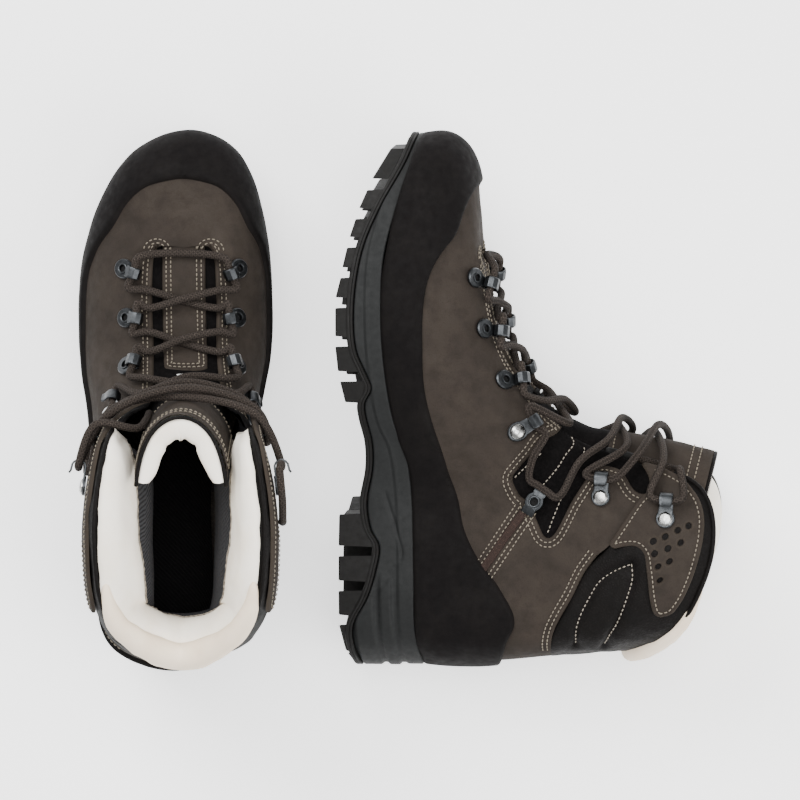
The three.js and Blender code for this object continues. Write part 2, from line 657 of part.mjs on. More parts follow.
// The end of the lace goes round the cuff's front corner, and down beside the tongue.
const tuckedEnd = (reach, side) => [
  offsetPoint(upperSurface(reach), side * 6.75, 0.97, 9),
  offsetPoint(tongueSurface(reach), side * 0.66, 0.9, 6.5),
  offsetPoint(tongueSurface(reach), side * 0.62, 0.83, 3.2),
  offsetPoint(tongueSurface(reach), side * 0.62, 0.74, 3),
];
// Or it turns back over the cuff, and hangs behind the hook.
const looseEnd = (reach, side) => [
  over(reach, side, 99, 202, 10.5),
  over(reach, side, 88, 199, 9.5),
  over(reach, side, 80, 186, 8.5),
  over(reach, side, 79, 168, 8.5),
];

function lace(reach, looseInside) {
  const outer = halfLace(reach, -1, 0, looseInside);
  const inner = halfLace(reach, 1, 1, false);
  const bar = overTongue(reach, new THREE.Vector3(0, 238, 86), UNDER);
  return tube([...outer.reverse(), bar, ...inner], LACE_DIAMETER);
}

// ---- Assembly ----

const LOOKS = {
  outsole: [0x1b1b1c, 0.75],
  midsole: [0x3a3d3f, 0.7],
  board: [0xb8a888, 0.9],
  shank: [0x8f9498, 0.35, 1],
  footbed: [0x4a4a4c, 0.95],
  rand: [0x1d1a1b, 0.8],
  nubuck: [0x4a433d, 0.85],
  leather: [0x17130f, 0.5],
  cream: [0xe9e0d0, 0.6],
  liner: [0x55565a, 0.95],
  plastic: [0xd8d4c8, 0.6],
  lace: [0x5c524e, 0.8],
  metal: [0x6d757b, 0.3, 1],
};
const finish = Object.fromEntries(
  Object.entries(LOOKS).map(([name, [color, roughness, metalness = 0]]) => [
    name,
    new THREE.MeshStandardMaterial({ color, roughness, metalness }),
  ]),
);

function boot(name, reach, looseInside) {
  const group = new THREE.Group();
  const add = (piece, geometry, look) => {
    const mesh = new THREE.Mesh(geometry, finish[look]);
    mesh.name = `${name}_${piece}`;
    group.add(mesh);
    return mesh;
  };
  add("outsole", outsole(), "outsole");
  add("midsole", midsole(), "midsole");
  add("shank", shankStrip(0), "shank");
  add("lasting_board", lastingBoard(), "board");
  add("footbed", footbed(), "footbed");
  add("rand", rand(reach), "rand");
  add("vamp", vamp(reach), "nubuck");
  add("quarter", quarter(reach), "nubuck");
  add("collar_pad", collarPad(reach), "leather");
  add("heel_counter", heelCounter(reach), "plastic");
  add("sock_liner", sockLiner(reach), "liner");
  add("collar_lining", collarLining(reach), "cream");
  add("tongue", tonguePiece(reach, TONGUE_BEND, 1, 10, 7), "nubuck");
  for (const side of [1, -1]) {
    add(`overlay_${sideName(side)}`, overlay(reach, side), "nubuck");
    for (const [piece, fitting] of Object.entries(FITTINGS)) {
      const mesh = add(`${piece}_${sideName(side)}`, fitting.make(), "metal");
      mesh.applyMatrix4(fittingFrame(reach, fitting, side));
    }
  }
  add("lace", lace(reach, looseInside), "lace");
  return group;
}

const pair = new THREE.Group();
const left = boot("left", LEFT_REACH, true);
const right = new THREE.Group();
const mirroredBoot = boot("right", RIGHT_REACH, false);
mirroredBoot.scale.x = -1;
right.add(mirroredBoot);
right.rotation.set(LIE_PITCH, Math.PI / 2 - LIE_TILT, 0);
pair.add(left, right);

// The boots stand and lie on one ground, heel beside heel, and the origin is the middle of the
// pair's base.
function boxOf(group) {
  pair.updateMatrixWorld(true);
  return new THREE.Box3().setFromObject(group, true);
}
left.position.z = -boxOf(left).min.z;
right.position.z = -boxOf(right).min.z;
right.position.x = boxOf(left).max.x + BOOT_GAP - boxOf(right).min.x;
right.position.y = boxOf(left).getCenter(new THREE.Vector3()).y - boxOf(right).getCenter(new THREE.Vector3()).y;
const middle = boxOf(pair).getCenter(new THREE.Vector3());
for (const one of [left, right]) {
  one.position.x -= middle.x;
  one.position.y -= middle.y;
}

export default pair;
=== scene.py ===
"""Looks for a pair of leather mountaineering boots: the left stands, and the right, its mirror image, lies
on its outer side. Each boot is drawn in millimetres in a frame of its own, as the CAD source draws it: +Y to
the toe, +Z up from the ground, +X to the inner side of the foot, and the back of the heel at y = 0."""
import json
import math

import bpy
import numpy as np
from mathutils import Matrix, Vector, noise
from mathutils.geometry import delaunay_2d_cdt
from mathutils.kdtree import KDTree


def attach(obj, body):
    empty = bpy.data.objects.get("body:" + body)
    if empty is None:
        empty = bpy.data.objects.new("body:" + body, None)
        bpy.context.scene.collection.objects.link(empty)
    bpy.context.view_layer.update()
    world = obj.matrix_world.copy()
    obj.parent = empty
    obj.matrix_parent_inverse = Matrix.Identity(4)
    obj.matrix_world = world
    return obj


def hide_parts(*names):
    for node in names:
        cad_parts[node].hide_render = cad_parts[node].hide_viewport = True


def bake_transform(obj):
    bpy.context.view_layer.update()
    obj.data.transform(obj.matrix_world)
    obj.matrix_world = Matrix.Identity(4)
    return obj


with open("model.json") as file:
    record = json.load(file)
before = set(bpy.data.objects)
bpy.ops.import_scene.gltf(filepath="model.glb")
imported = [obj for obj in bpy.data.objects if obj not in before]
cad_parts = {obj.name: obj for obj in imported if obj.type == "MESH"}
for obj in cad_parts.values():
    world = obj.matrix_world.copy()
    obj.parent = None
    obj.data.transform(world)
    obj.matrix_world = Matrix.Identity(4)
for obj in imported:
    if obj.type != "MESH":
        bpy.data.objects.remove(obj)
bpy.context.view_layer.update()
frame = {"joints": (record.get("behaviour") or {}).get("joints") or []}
MM = 0.001

# ---- Camera, floor and light ----

CAMERA_HEIGHT = 3.65
CAMERA_SIDE = -0.0001
camera = bpy.data.objects.new("camera", bpy.data.cameras.new("camera"))
camera.data.lens = 282
camera.data.sensor_width = 36
camera.location = (CAMERA_SIDE, 0, CAMERA_HEIGHT)
bpy.context.scene.collection.objects.link(camera)
bpy.context.scene.camera = camera


def area_light(name, place, size, energy):
    """A square lamp of that size in metres, which shines at the boots."""
    data = bpy.data.lights.new(name, "AREA")
    data.shape = "SQUARE"
    data.size = size
    data.energy = energy
    lamp = bpy.data.objects.new(name, data)
    lamp.location = place
    lamp.rotation_euler = (-Vector(place)).to_track_quat("-Z", "Y").to_euler()
    bpy.context.scene.collection.objects.link(lamp)


area_light("key", (-1.2, 1.6, 2.2), 1.6, 105)
area_light("fill", (1.6, -1.0, 1.8), 1.8, 62)
area_light("top", (0.1, 0.2, 2.6), 1.4, 60)
world = bpy.data.worlds.new("studio")
world.use_nodes = True
world.node_tree.nodes["Background"].inputs["Color"].default_value = (1, 1, 1, 1)
world.node_tree.nodes["Background"].inputs["Strength"].default_value = 0.7
bpy.context.scene.world = world

# ---- Curves and the surfaces of the boot, as the CAD source draws them ----

LACE_DIAMETER = 4.4
REACH = {"left": 20, "right": 0}  # how far each boot's shaft leans forward at its front edge
LEAN_IN = 0.45  # how far a shaft leans to the inner side, as a share of how far it leans forward
INSTEP_DROP = 8  # how far the forefoot's top lies below the cage that the upper is drawn with
SEAT = 0.9  # how far the upper's foot line lies over the midsole's rim
TREAD_DEPTH = 4


def clamp01(t):
    return np.clip(t, 0, 1)


def smooth(t):
    return clamp01(t) ** 2 * (3 - 2 * clamp01(t))


def unit(v):
    return v / np.maximum(np.linalg.norm(v, axis=-1, keepdims=True), 1e-9)


def turns(count):
    """Angles evenly round a circle."""
    return np.linspace(0, 2 * math.pi, count, endpoint=False)


def through(points):
    """A smooth function through (x, value) points."""
    xs, ys = np.array(points, float).T
    before = np.maximum(np.arange(len(xs)) - 1, 0)
    after = np.minimum(np.arange(len(xs)) + 1, len(xs) - 1)
    slope = (ys[after] - ys[before]) / (xs[after] - xs[before])

    def value(x):
        i = np.clip(np.searchsorted(xs, x) - 1, 0, len(xs) - 2)
        w = xs[i + 1] - xs[i]
        t = clamp01((x - xs[i]) / w)
        h = (1 + 2 * t) * (1 - t) ** 2 * ys[i] + t * t * (3 - 2 * t) * ys[i + 1]
        return h + (t * (1 - t) ** 2 * slope[i] - t * t * (1 - t) * slope[i + 1]) * w

    return value


sole_half_width = through([
    (0, 0), (1.5, 11), (5, 20), (18, 31.5), (40, 38), (70, 39.5), (100, 40.5), (130, 44.7), (152, 50.5),
    (171, 53.8), (192, 55.3), (212, 55.4), (237, 53), (259, 48), (275, 41), (289, 32), (300, 21), (306, 13),
    (309, 5), (310, 0),
])
rim_height = through([
    (0, 47), (8, 46), (30, 43.6), (73, 43), (104, 42), (130, 38.7), (146, 32.5), (174, 28), (205, 26),
    (239, 27), (263, 32.5), (292, 41), (310, 48),
])
split_height = through([
    (0, 12), (14, 8), (28, 8), (45, 16.5), (60, 21), (74, 23), (84, 18), (99, 16), (119, 19.5), (134, 19.5),
    (148, 16.6), (157, 16), (166, 20), (174, 17.2), (188, 11.5), (207, 10), (228, 11.5), (248, 15.8),
    (270, 25),
    (293, 37.5), (310, 44),
])
ground_curve = through([
    (0, 9), (10, 3.5), (30, 0), (90, 0), (97, 3), (108, 13), (140, 13), (155, 6), (168, 3), (185, 0),
    (216, 0), (228, 2.6), (242, 5.4), (258, 9.6), (272, 14.5), (286, 20.5), (300, 28.5), (310, 35),
])


def ground_height(y):
    return np.maximum(0, ground_curve(y))


def foot_skew(y):
    return 10 * np.maximum(0, (y - 215) / 95) ** 2 - 3.5 * np.exp(-(((y - 105) / 45) ** 2))


THROAT_SKEW = 6  # how far the throat's middle lies to the inner side


def lace_skew(y):
    return THROAT_SKEW * smooth((y - 112) / 40)


# The upper's cage, from the middle of the toe round one side to the middle of the heel. Each station is a
# cubic Bezier up the boot's side: foot line, two handles, top line.
CAGE = np.array([
    [[0, 305, 0], [0, 313, 84], [0, 285, 88.5], [0, 240, 86]],
    [[27, 294, 0], [30, 300, 74], [23, 281, 87.5], [8, 240.5, 87]],
    [[43.5, 264, 0], [48, 266, 60], [37, 257, 85.5], [16.5, 237, 88]],
    [[51, 224, 0], [57, 224, 56], [40, 215, 88], [18.6, 207, 94]],
    [[51, 183, 0], [57, 183, 60], [39, 178, 94], [18.6, 175, 104]],
    [[44, 143, 0], [51, 146, 72], [37, 147, 109], [22, 143, 127]],
    [[39.5, 119, 0], [45, 125, 80], [42, 131, 126], [33, 127, 166]],
    [[37, 95, 0], [40, 103, 90], [48, 112, 150], [41, 110, 207]],
    [[35.5, 58, 0], [37, 58, 90], [53, 62, 150], [47, 74, 214]],
    [[29.5, 21, 0], [32, 14, 90], [43, 20, 140], [38, 30, 195]],
    [[0, 4, 0], [0, -1, 88], [0, 14, 130], [0, 10, 165]],
])
CAGE[:, 0, 2] = rim_height(CAGE[:, 0, 1]) + SEAT
HEEL = len(CAGE) - 1
MIRROR = np.array([-1, 1, 1])
STATIONS = np.concatenate([CAGE[1:2] * MIRROR, CAGE, CAGE[-2:-1] * MIRROR])


def from_toe(u):
    """u counted from the toe to the heel, on either side."""
    a = np.abs(u)
    return np.where(a > HEEL, 2 * HEEL - a, a)


def base_point(u, v):
    """The upper's surface before the shaft leans: u round the boot from the toe, v from foot line to top."""
    u, v = np.broadcast_arrays(np.asarray(u, float), np.asarray(v, float))
    wrapped = u - 2 * HEEL * np.round(u / (2 * HEEL))
    side = np.where(wrapped < 0, -1, 1)
    a = np.abs(wrapped)
    i = np.minimum(np.floor(a), HEEL - 1).astype(int)
    t = a - i
    across = np.stack([
        (-t + 2 * t * t - t**3) / 2,
        (2 - 5 * t * t + 3 * t**3) / 2,
        (t + 4 * t * t - 3 * t**3) / 2,
        (-t * t + t**3) / 2,
    ], -1)
    up = np.stack([(1 - v) ** 3, 3 * v * (1 - v) ** 2, 3 * v * v * (1 - v), v**3], -1)
    near = STATIONS[i[..., None] + np.arange(4)]
    p = np.einsum("...k,...j,...kjc->...c", across, up, near)
    skew = foot_skew(p[..., 1]) * (1 - v) + lace_skew(p[..., 1]) * v
    p[..., 0] = side * p[..., 0] + skew
    return p


def lean(p, reach):
    """The shaft leans forward by reach at its front edge, and inward, and the forefoot's top is let down."""
    y, z = p[..., 1], p[..., 2]
    high = smooth((z - 70) / 100)
    drop = INSTEP_DROP * smooth((y - 130) / 70) * smooth((z - 38) / 50)
    return p + np.stack([reach * LEAN_IN * high, reach * high * smooth((y - 50) / 70), -drop], -1)


class Surface:
    """A surface given as a function of two numbers, with a flat map for meshing it."""

    STEP = 0.01

    def __init__(self, point, flat_scale):
        self.point = point
        self.flat_scale = flat_scale  # gives the size of one unit of each number, in mm, at a place

    def slopes(self, u, v):
        e = self.STEP
        du = (self.point(u + e, v) - self.point(u - e, v)) / (2 * e)
        dv = (self.point(u, v + e) - self.point(u, v - e)) / (2 * e)
        return du, dv

    def normal(self, u, v):
        du, dv = self.slopes(u, v)
        return unit(np.cross(dv, du))

    def at(self, u, v, height=0.0):
        u = np.asarray(u, float)
        v = np.asarray(v, float)
        height = np.asarray(height, float)
        return self.point(u, v) + self.normal(u, v) * height[..., None]


def settled(uv, target, axes, rounds, most=np.inf):
    """Moves u and v until the upper's point has the target's two coordinates along those axes."""
    for _ in range(rounds):
        p = base_point(*uv)
        pu = (base_point(uv[0] + 0.01, uv[1]) - p) / 0.01
        pv = (base_point(uv[0], uv[1] + 0.01) - p) / 0.01
        slopes = np.stack([pu[axes], pv[axes]], 1)
        uv = uv + np.clip(np.linalg.solve(slopes, target - p[axes]), -most, most)
    return uv


LOCATE_U, LOCATE_V = np.meshgrid(np.linspace(0, HEEL, 121), np.linspace(0, 1.1, 45))
LOCATE_P = base_point(LOCATE_U, LOCATE_V)


def locate(y, z):
    """The u and v of a point seen from the inner side, at length y and height z of the standing boot."""
    d = (LOCATE_P[..., 1] - y) ** 2 + (LOCATE_P[..., 2] - z) ** 2
    k = np.unravel_index(np.argmin(d), d.shape)
    return settled(np.array([LOCATE_U[k], LOCATE_V[k]]), np.array([y, z]), [1, 2], 8)


def located(points):
    return np.array([locate(y, z) for y, z in points])


# ---- The tongue's surface ----

def spline_point(points):
    """A centripetal Catmull-Rom spline's function of t from 0 to 1, through points."""
    p = np.asarray(points, float)
    p = np.vstack([2 * p[0] - p[1], p, 2 * p[-1] - p[-2]])
    spans = len(p) - 3

    def at(t):
        x = clamp01(np.asarray(t, float)) * spans
        i = np.minimum(np.floor(x), spans - 1).astype(int)
        w = (x - i)[..., None]
        p0, p1, p2, p3 = (p[i + k] for k in range(4))
        d0, d1, d2 = (
            np.maximum(np.linalg.norm(b - a, axis=-1, keepdims=True) ** 0.5, 1e-4)
            for a, b in ((p0, p1), (p1, p2), (p2, p3))
        )
        m1 = ((p1 - p0) / d0 - (p2 - p0) / (d0 + d1) + (p2 - p1) / d1) * d1
        m2 = ((p2 - p1) / d1 - (p3 - p1) / (d1 + d2) + (p3 - p2) / d2) * d1
        return p1 + m1 * w + (3 * (p2 - p1) - 2 * m1 - m2) * w**2 + (2 * (p1 - p2) + m1 + m2) * w**3

    return at


TONGUE_SPINE = spline_point([
    (246, 86), (226, 89.2), (207, 93.5), (182, 101), (164, 110.5), (150, 122), (141, 140), (136, 163),
    (131, 190), (125, 216),
])
TONGUE_BEND = 0.47  # how far up the tongue it folds
TONGUE_WRAP = math.radians(78)  # the angle that each half of the tongue curves round
tongue_half = through([(0, 20), (0.3, 21), (0.47, 23), (0.7, 25), (1, 26)])
tongue_depth = through([(0, 1.2), (0.35, 1.4), (0.47, 8), (0.7, 30), (1, 42)])


def tongue_base(a, b):
    """The tongue's outer surface: a across it from -1 to 1, b along it from the throat's front to its top."""
    a, b = np.broadcast_arrays(np.asarray(a, float), np.asarray(b, float))
    middle = TONGUE_SPINE(b)
    e = 0.002
    along = TONGUE_SPINE(np.minimum(b + e, 1)) - TONGUE_SPINE(np.maximum(b - e, 0))
    inward = unit(-np.abs(along[..., ::-1]))
    angle = a * TONGUE_WRAP
    yz = middle + inward * (tongue_depth(b) * (1 - np.cos(angle)))[..., None]
    x = tongue_half(b) * np.sin(angle)
    x = x + lace_skew(middle[..., 0]) * (1 - 0.6 * smooth((b - 0.5) / 0.5))
    return np.concatenate([x[..., None], yz], -1)


# ---- Mesh tools ----

def length_along(points):
    steps = np.linalg.norm(np.diff(points, axis=0), axis=1)
    return np.concatenate([[0], np.cumsum(steps)])


def evenly(points, step, guide=None, least=2):
    """The line through points in equal steps along guide, which is the same line in millimetres."""
    s = length_along(points if guide is None else guide)
    count = max(least, int(math.ceil(s[-1] / step)))
    where = np.linspace(0, s[-1], count + 1)
    return np.stack([np.interp(where, s, points[:, k]) for k in range(points.shape[1])], 1)


def curve_on(surface, points, step, rounded=True):
    """A line through points on a surface, as its two numbers, in steps of that many millimetres."""
    points = np.asarray(points, float)
    if rounded and len(points) > 2:
        t = np.linspace(0, 1, 14 * (len(points) - 1) + 1)
        scale = surface.flat_scale(*points.mean(0))
        fine = spline_point(points * scale)(t) / scale
    else:
        fine = evenly(points, 0.02, points * 0.1, least=20)
    return evenly(fine, step, surface.point(fine[:, 0], fine[:, 1]))


def beside(surface, line, distance, closed=False):
    """The line moved sideways on its surface by a distance, to the left as seen from outside."""
    p = surface.point(line[:, 0], line[:, 1])
    if closed:
        along = np.roll(p, -1, 0) - np.roll(p, 1, 0)
    else:
        along = np.gradient(p, axis=0)
    du, dv = surface.slopes(line[:, 0], line[:, 1])
    normal = surface.normal(line[:, 0], line[:, 1])
    aside = np.cross(normal, unit(along))
    g11, g12, g22 = (du * du).sum(1), (du * dv).sum(1), (dv * dv).sum(1)
    r1, r2 = (du * aside).sum(1), (dv * aside).sum(1)
    det = g11 * g22 - g12 * g12
    step = np.stack([(g22 * r1 - g12 * r2) / det, (g11 * r2 - g12 * r1) / det], 1)
    return line + step * distance


def distances(points, targets):
    """Each point's distance to the nearest of the targets, in the plane or in space."""
    if len(targets) == 0:
        return np.full(len(points), 1e9)
    tree = KDTree(len(targets))
    for i, p in enumerate(targets):
        tree.insert((*p, 0)[:3], i)
    tree.balance()
    return np.array([tree.find((*p, 0)[:3])[2] for p in points])


def rounding(t):
    """How far a rounded edge has dropped: 1 at t = 0, on a quarter of a circle to 0 at t = 1."""
    return 1 - np.sqrt(1 - (1 - clamp01(t)) ** 2)


def within(points, polygon):
    """Which points of the plane lie inside a polygon."""
    x, y = points.T
    odd = np.zeros(len(points), bool)
    for (x0, y0), (x1, y1) in zip(polygon, np.roll(polygon, -1, 0)):
        crossed = (y0 > y) != (y1 > y)
        odd ^= crossed & (x < (x1 - x0) * (y - y0) / (y1 - y0 + 1e-12) + x0)
    return odd


def ripple(points, size, amount, seed=0.0):
    """Smooth unevenness of that wavelength and height, at points in a list or a grid."""
    shift = Vector((seed, seed, seed))
    values = [noise.noise(Vector(p) / size + shift) for p in points.reshape(-1, 3)]
    return np.array(values).reshape(points.shape[:-1]) * amount


def at_each(amount, line):
    """An amount that is a number, or a function of the surface's two numbers, for each point of a line."""
    return amount(*line.T) if callable(amount) else np.full(len(line), float(amount))


def patch(surface, edges, height, thickness, spacing, roll, holes=(), grooves=(), swell=None):
    """A panel cut to an outline on a surface: points, faces, and each point's distance from its cut edges.
    edges are (line, cut) pairs that close on each other: a cut edge is rounded down by thickness over roll.
    holes are (u, v, radius), and grooves are (line, depth, width)."""
    loop = np.concatenate([line[:-1] for line, _ in edges])
    cut = np.concatenate([np.full(len(line) - 1, is_cut) for line, is_cut in edges])
    centre = loop.mean(0)
    scale = np.array(surface.flat_scale(*centre), float)
    flat_loop = loop * scale
    following = np.roll(flat_loop, -1, 0)
    area = np.sum(flat_loop[:, 0] * following[:, 1] - following[:, 0] * flat_loop[:, 1])
    low, high = flat_loop.min(0), flat_loop.max(0)
    columns = np.arange(low[0], high[0] + spacing, spacing)
    rows = np.arange(low[1], high[1] + spacing, spacing * 0.87)
    grid = np.array([(x + (j % 2) * spacing / 2, y) for j, y in enumerate(rows) for x in columns])
    grid = grid[within(grid, flat_loop)]
    grid = grid[distances(grid, flat_loop) > 0.75 * spacing]
    rings = []
    if cut.any():
        cut_points = surface.point(*loop[cut].T)
        for share in (0.16, 0.5, 1.0):
            inner = beside(surface, loop, roll * share * (-1 if area > 0 else 1), closed=True)[cut]
            keep = within(inner * scale, flat_loop)
            inner = inner[keep]
            if len(inner):
                inner = inner[distances(surface.point(*inner.T), cut_points) > 0.8 * roll * share]
            rings.append(inner * scale)
        if len(grid) and sum(len(r) for r in rings):
            grid = grid[distances(grid, np.concatenate(rings)) > 0.5 * spacing]
    flat = [flat_loop, *rings, grid]
    faces_in = [list(range(len(flat_loop)))]
    extra_edges = []
    hole_discs = []
    for u, v, radius in holes:
        du, dv = surface.slopes(np.array([u]), np.array([v]))
        size_u, size_v = np.linalg.norm(du), np.linalg.norm(dv)
        turn = turns(14)
        start = sum(len(f) for f in flat)
        for grow in (1.0, 1.35):
            reach = radius * grow
            disc = np.stack([u + np.cos(turn) * reach / size_u, v + np.sin(turn) * reach / size_v], 1)
            if grow == 1.0:
                extra_edges += [(start + k, start + (k + 1) % len(turn)) for k in range(len(turn))]
                hole_discs.append((disc * scale, disc))
            flat.append(disc * scale)
    points = np.concatenate(flat)
    verts, _, faces, *_ = delaunay_2d_cdt([Vector(p) for p in points], extra_edges, faces_in, 1, 1e-5)
    flat_points = np.array([(p.x, p.y) for p in verts])
    faces = np.array([tuple(f) for f in faces], int)
    for disc, _ in hole_discs:
        middles = flat_points[faces].mean(1)
        faces = faces[~within(middles, disc)]
    used = np.unique(faces)
    renumber = np.full(len(flat_points), -1)
    renumber[used] = np.arange(len(used))
    faces = [tuple(f) for f in renumber[faces][:, ::-1].tolist()]
    uv = flat_points[used] / scale
    base = surface.point(*uv.T)
    dense_cut = [surface.point(*line.T) for line, is_cut in edges if is_cut]
    dense_cut += [surface.point(*disc.T) for _, disc in hole_discs]
    far = distances(base, np.concatenate(dense_cut)) if dense_cut else np.full(len(base), 99.0)
    lift = at_each(height, uv) - thickness * rounding(far / roll)
    for line, depth, width in grooves:
        lift = lift - depth * np.exp(-((distances(base, surface.point(*line.T)) / width) ** 2))
    if swell is not None:
        lift = lift + swell(uv, base, far)
    return surface.at(*uv.T, lift), faces, far


def grid_faces(rows, columns, wrap=False):
    """Quads of a grid of points, rows by columns; with wrap, the last column joins the first."""
    j, i = np.meshgrid(np.arange(rows - 1), np.arange(columns if wrap else columns - 1), indexing="ij")
    i2 = (i + 1) % columns
    corners = [j * columns + i, j * columns + i2, (j + 1) * columns + i2, (j + 1) * columns + i]
    return [tuple(quad) for quad in np.stack(corners, -1).reshape(-1, 4).tolist()]


def lids(rows, columns):
    """The two faces that close the first and the last ring of a wrapped grid."""
    last = (rows - 1) * columns
    return [tuple(range(columns))[::-1], tuple(range(last, last + columns))]


def ringed(rings):
    """The surface through closed rings of points."""
    rings = np.array(rings)
    return rings.reshape(-1, 3), grid_faces(*rings.shape[:2], wrap=True)


def carried_frames(points):
    """For each point of a line: its direction and two directions across it that don't twist."""
    along = unit(np.gradient(points, axis=0))
    across = [unit(np.cross(along[0], [0.3, 0.2, 1.0]))]
    for a in along[1:]:
        across.append(unit(across[-1] - a * np.dot(a, across[-1])))
    across = np.array(across)
    return along, across, np.cross(along, across)


def tube(points, radius, sides=12, flatten=None):
    """A round cord along points, with domed ends: points, faces and the uv of each point. radius is one
    number or one for each point, and flatten is (direction, share) for a cord that is thinner one way."""
    along, a, b = carried_frames(points)
    if flatten is not None:
        direction, share = flatten
        b = unit(direction - along * (direction * along).sum(1, keepdims=True))
        a = np.cross(b, along)
        b = b * share
    r = np.broadcast_to(radius, len(points))[:, None, None]
    turn = turns(sides)
    ring = np.cos(turn)[None, :, None] * a[:, None] + np.sin(turn)[None, :, None] * b[:, None]
    body = points[:, None] + ring * r
    ends = []
    for k, way in ((0, -1), (-1, 1)):
        for share in (0.92, 0.6):
            push = along[k] * way * math.sqrt(1 - share**2) * r[k, 0, 0]
            ends.append(points[k] + ring[k] * r[k] * share + push)
    rows = np.concatenate([ends[1][None], ends[0][None], body, ends[2][None], ends[3][None]])
    verts, faces = ringed(rows)
    faces += lids(len(rows), sides)
    s = length_along(points)
    s = np.concatenate([[0, 0], s, [s[-1], s[-1]]])
    uv = np.stack(np.broadcast_arrays(turn[None] / (2 * math.pi), s[:, None]), -1).reshape(-1, 2)
    return verts, faces, uv


STRAP_SIDES = 16
STRAP_CORNER = 5.0  # how square the strap's section is: 2 would be round


def strap(path, width, thickness):
    """A strip of metal with rounded edges, bent along a path of y and z, with its width along x."""
    path = np.array(path, float)
    along = unit(np.gradient(path, axis=0))
    out = np.stack([-along[:, 1], along[:, 0]], 1)
    turn = turns(STRAP_SIDES) + math.pi / STRAP_SIDES
    sx, sz = (np.sign(w) * np.abs(w) ** (2 / STRAP_CORNER) for w in (np.cos(turn), np.sin(turn)))
    width = np.broadcast_to(width, len(path))
    rows = []
    for k in range(len(path)):
        yz = path[k] + out[k] * (sz[:, None] * thickness / 2)
        rows.append(np.concatenate([(sx * width[k] / 2)[:, None], yz], 1))
    verts, faces = ringed(rows)
    return verts, faces + lids(len(path), STRAP_SIDES)


def arc(cy, cz, r, start, end, n):
    """Points of an arc in the plane of y and z, between two angles in degrees."""
    turn = np.radians(np.linspace(start, end, n + 1))
    return [(cy + r * math.cos(t), cz + r * math.sin(t)) for t in turn]


def merged(parts):
    """Several (points, faces) as one."""
    verts, faces, start = [], [], 0
    for part_verts, part_faces in parts:
        verts.append(part_verts)
        faces += [tuple(k + start for k in f) for f in part_faces]
        start += len(part_verts)
    return np.concatenate(verts), faces


STITCH_PITCH = 2.7
STITCH_LENGTH = STITCH_PITCH * 0.7
STITCH_RADIUS = 0.38
STITCH_SIDES = 6
# A stitch's rings: how far along it, their share of its radius, and how far they stand above its line.
STITCH_RINGS = (
    (0.0, 0.3, -0.25), (0.1, 0.75, 0.02), (0.32, 1.0, 0.2), (0.68, 1.0, 0.2), (0.9, 0.75, 0.02),
    (1.0, 0.3, -0.25),
)


def stitches(points, normals):
    """A row of stitches along a line: each is a short thread that dips into the leather at both ends."""
    s = length_along(points)
    count = max(1, int(s[-1] / STITCH_PITCH))
    start = np.linspace(0, s[-1], count, endpoint=False)
    at = lambda where, of: np.stack([np.interp(where, s, of[:, k]) for k in range(3)], 1)
    p0, p1 = at(start, points), at(start + STITCH_LENGTH, points)
    up = unit(at(start + STITCH_LENGTH / 2, normals))
    along = p1 - p0
    side = unit(np.cross(along, up))
    turn = turns(STITCH_SIDES)
    ring = np.cos(turn)[None, :, None] * side[:, None] + np.sin(turn)[None, :, None] * up[:, None]
    rings = []
    for t, swell, rise in STITCH_RINGS:
        middle = p0 + along * t + up * rise
        rings.append(middle[:, None] + ring * STITCH_RADIUS * swell)
    per = len(STITCH_RINGS) * STITCH_SIDES
    one = grid_faces(len(STITCH_RINGS), STITCH_SIDES, wrap=True) + lids(len(STITCH_RINGS), STITCH_SIDES)
    faces = [tuple(k * per + i for i in f) for k in range(count) for f in one]
    return np.stack(rings, 1).reshape(-1, 3), faces


# ---- Materials ----

WAVES_PER_UNIT = 0.314  # the wave texture's scale at which its bands lie one unit apart


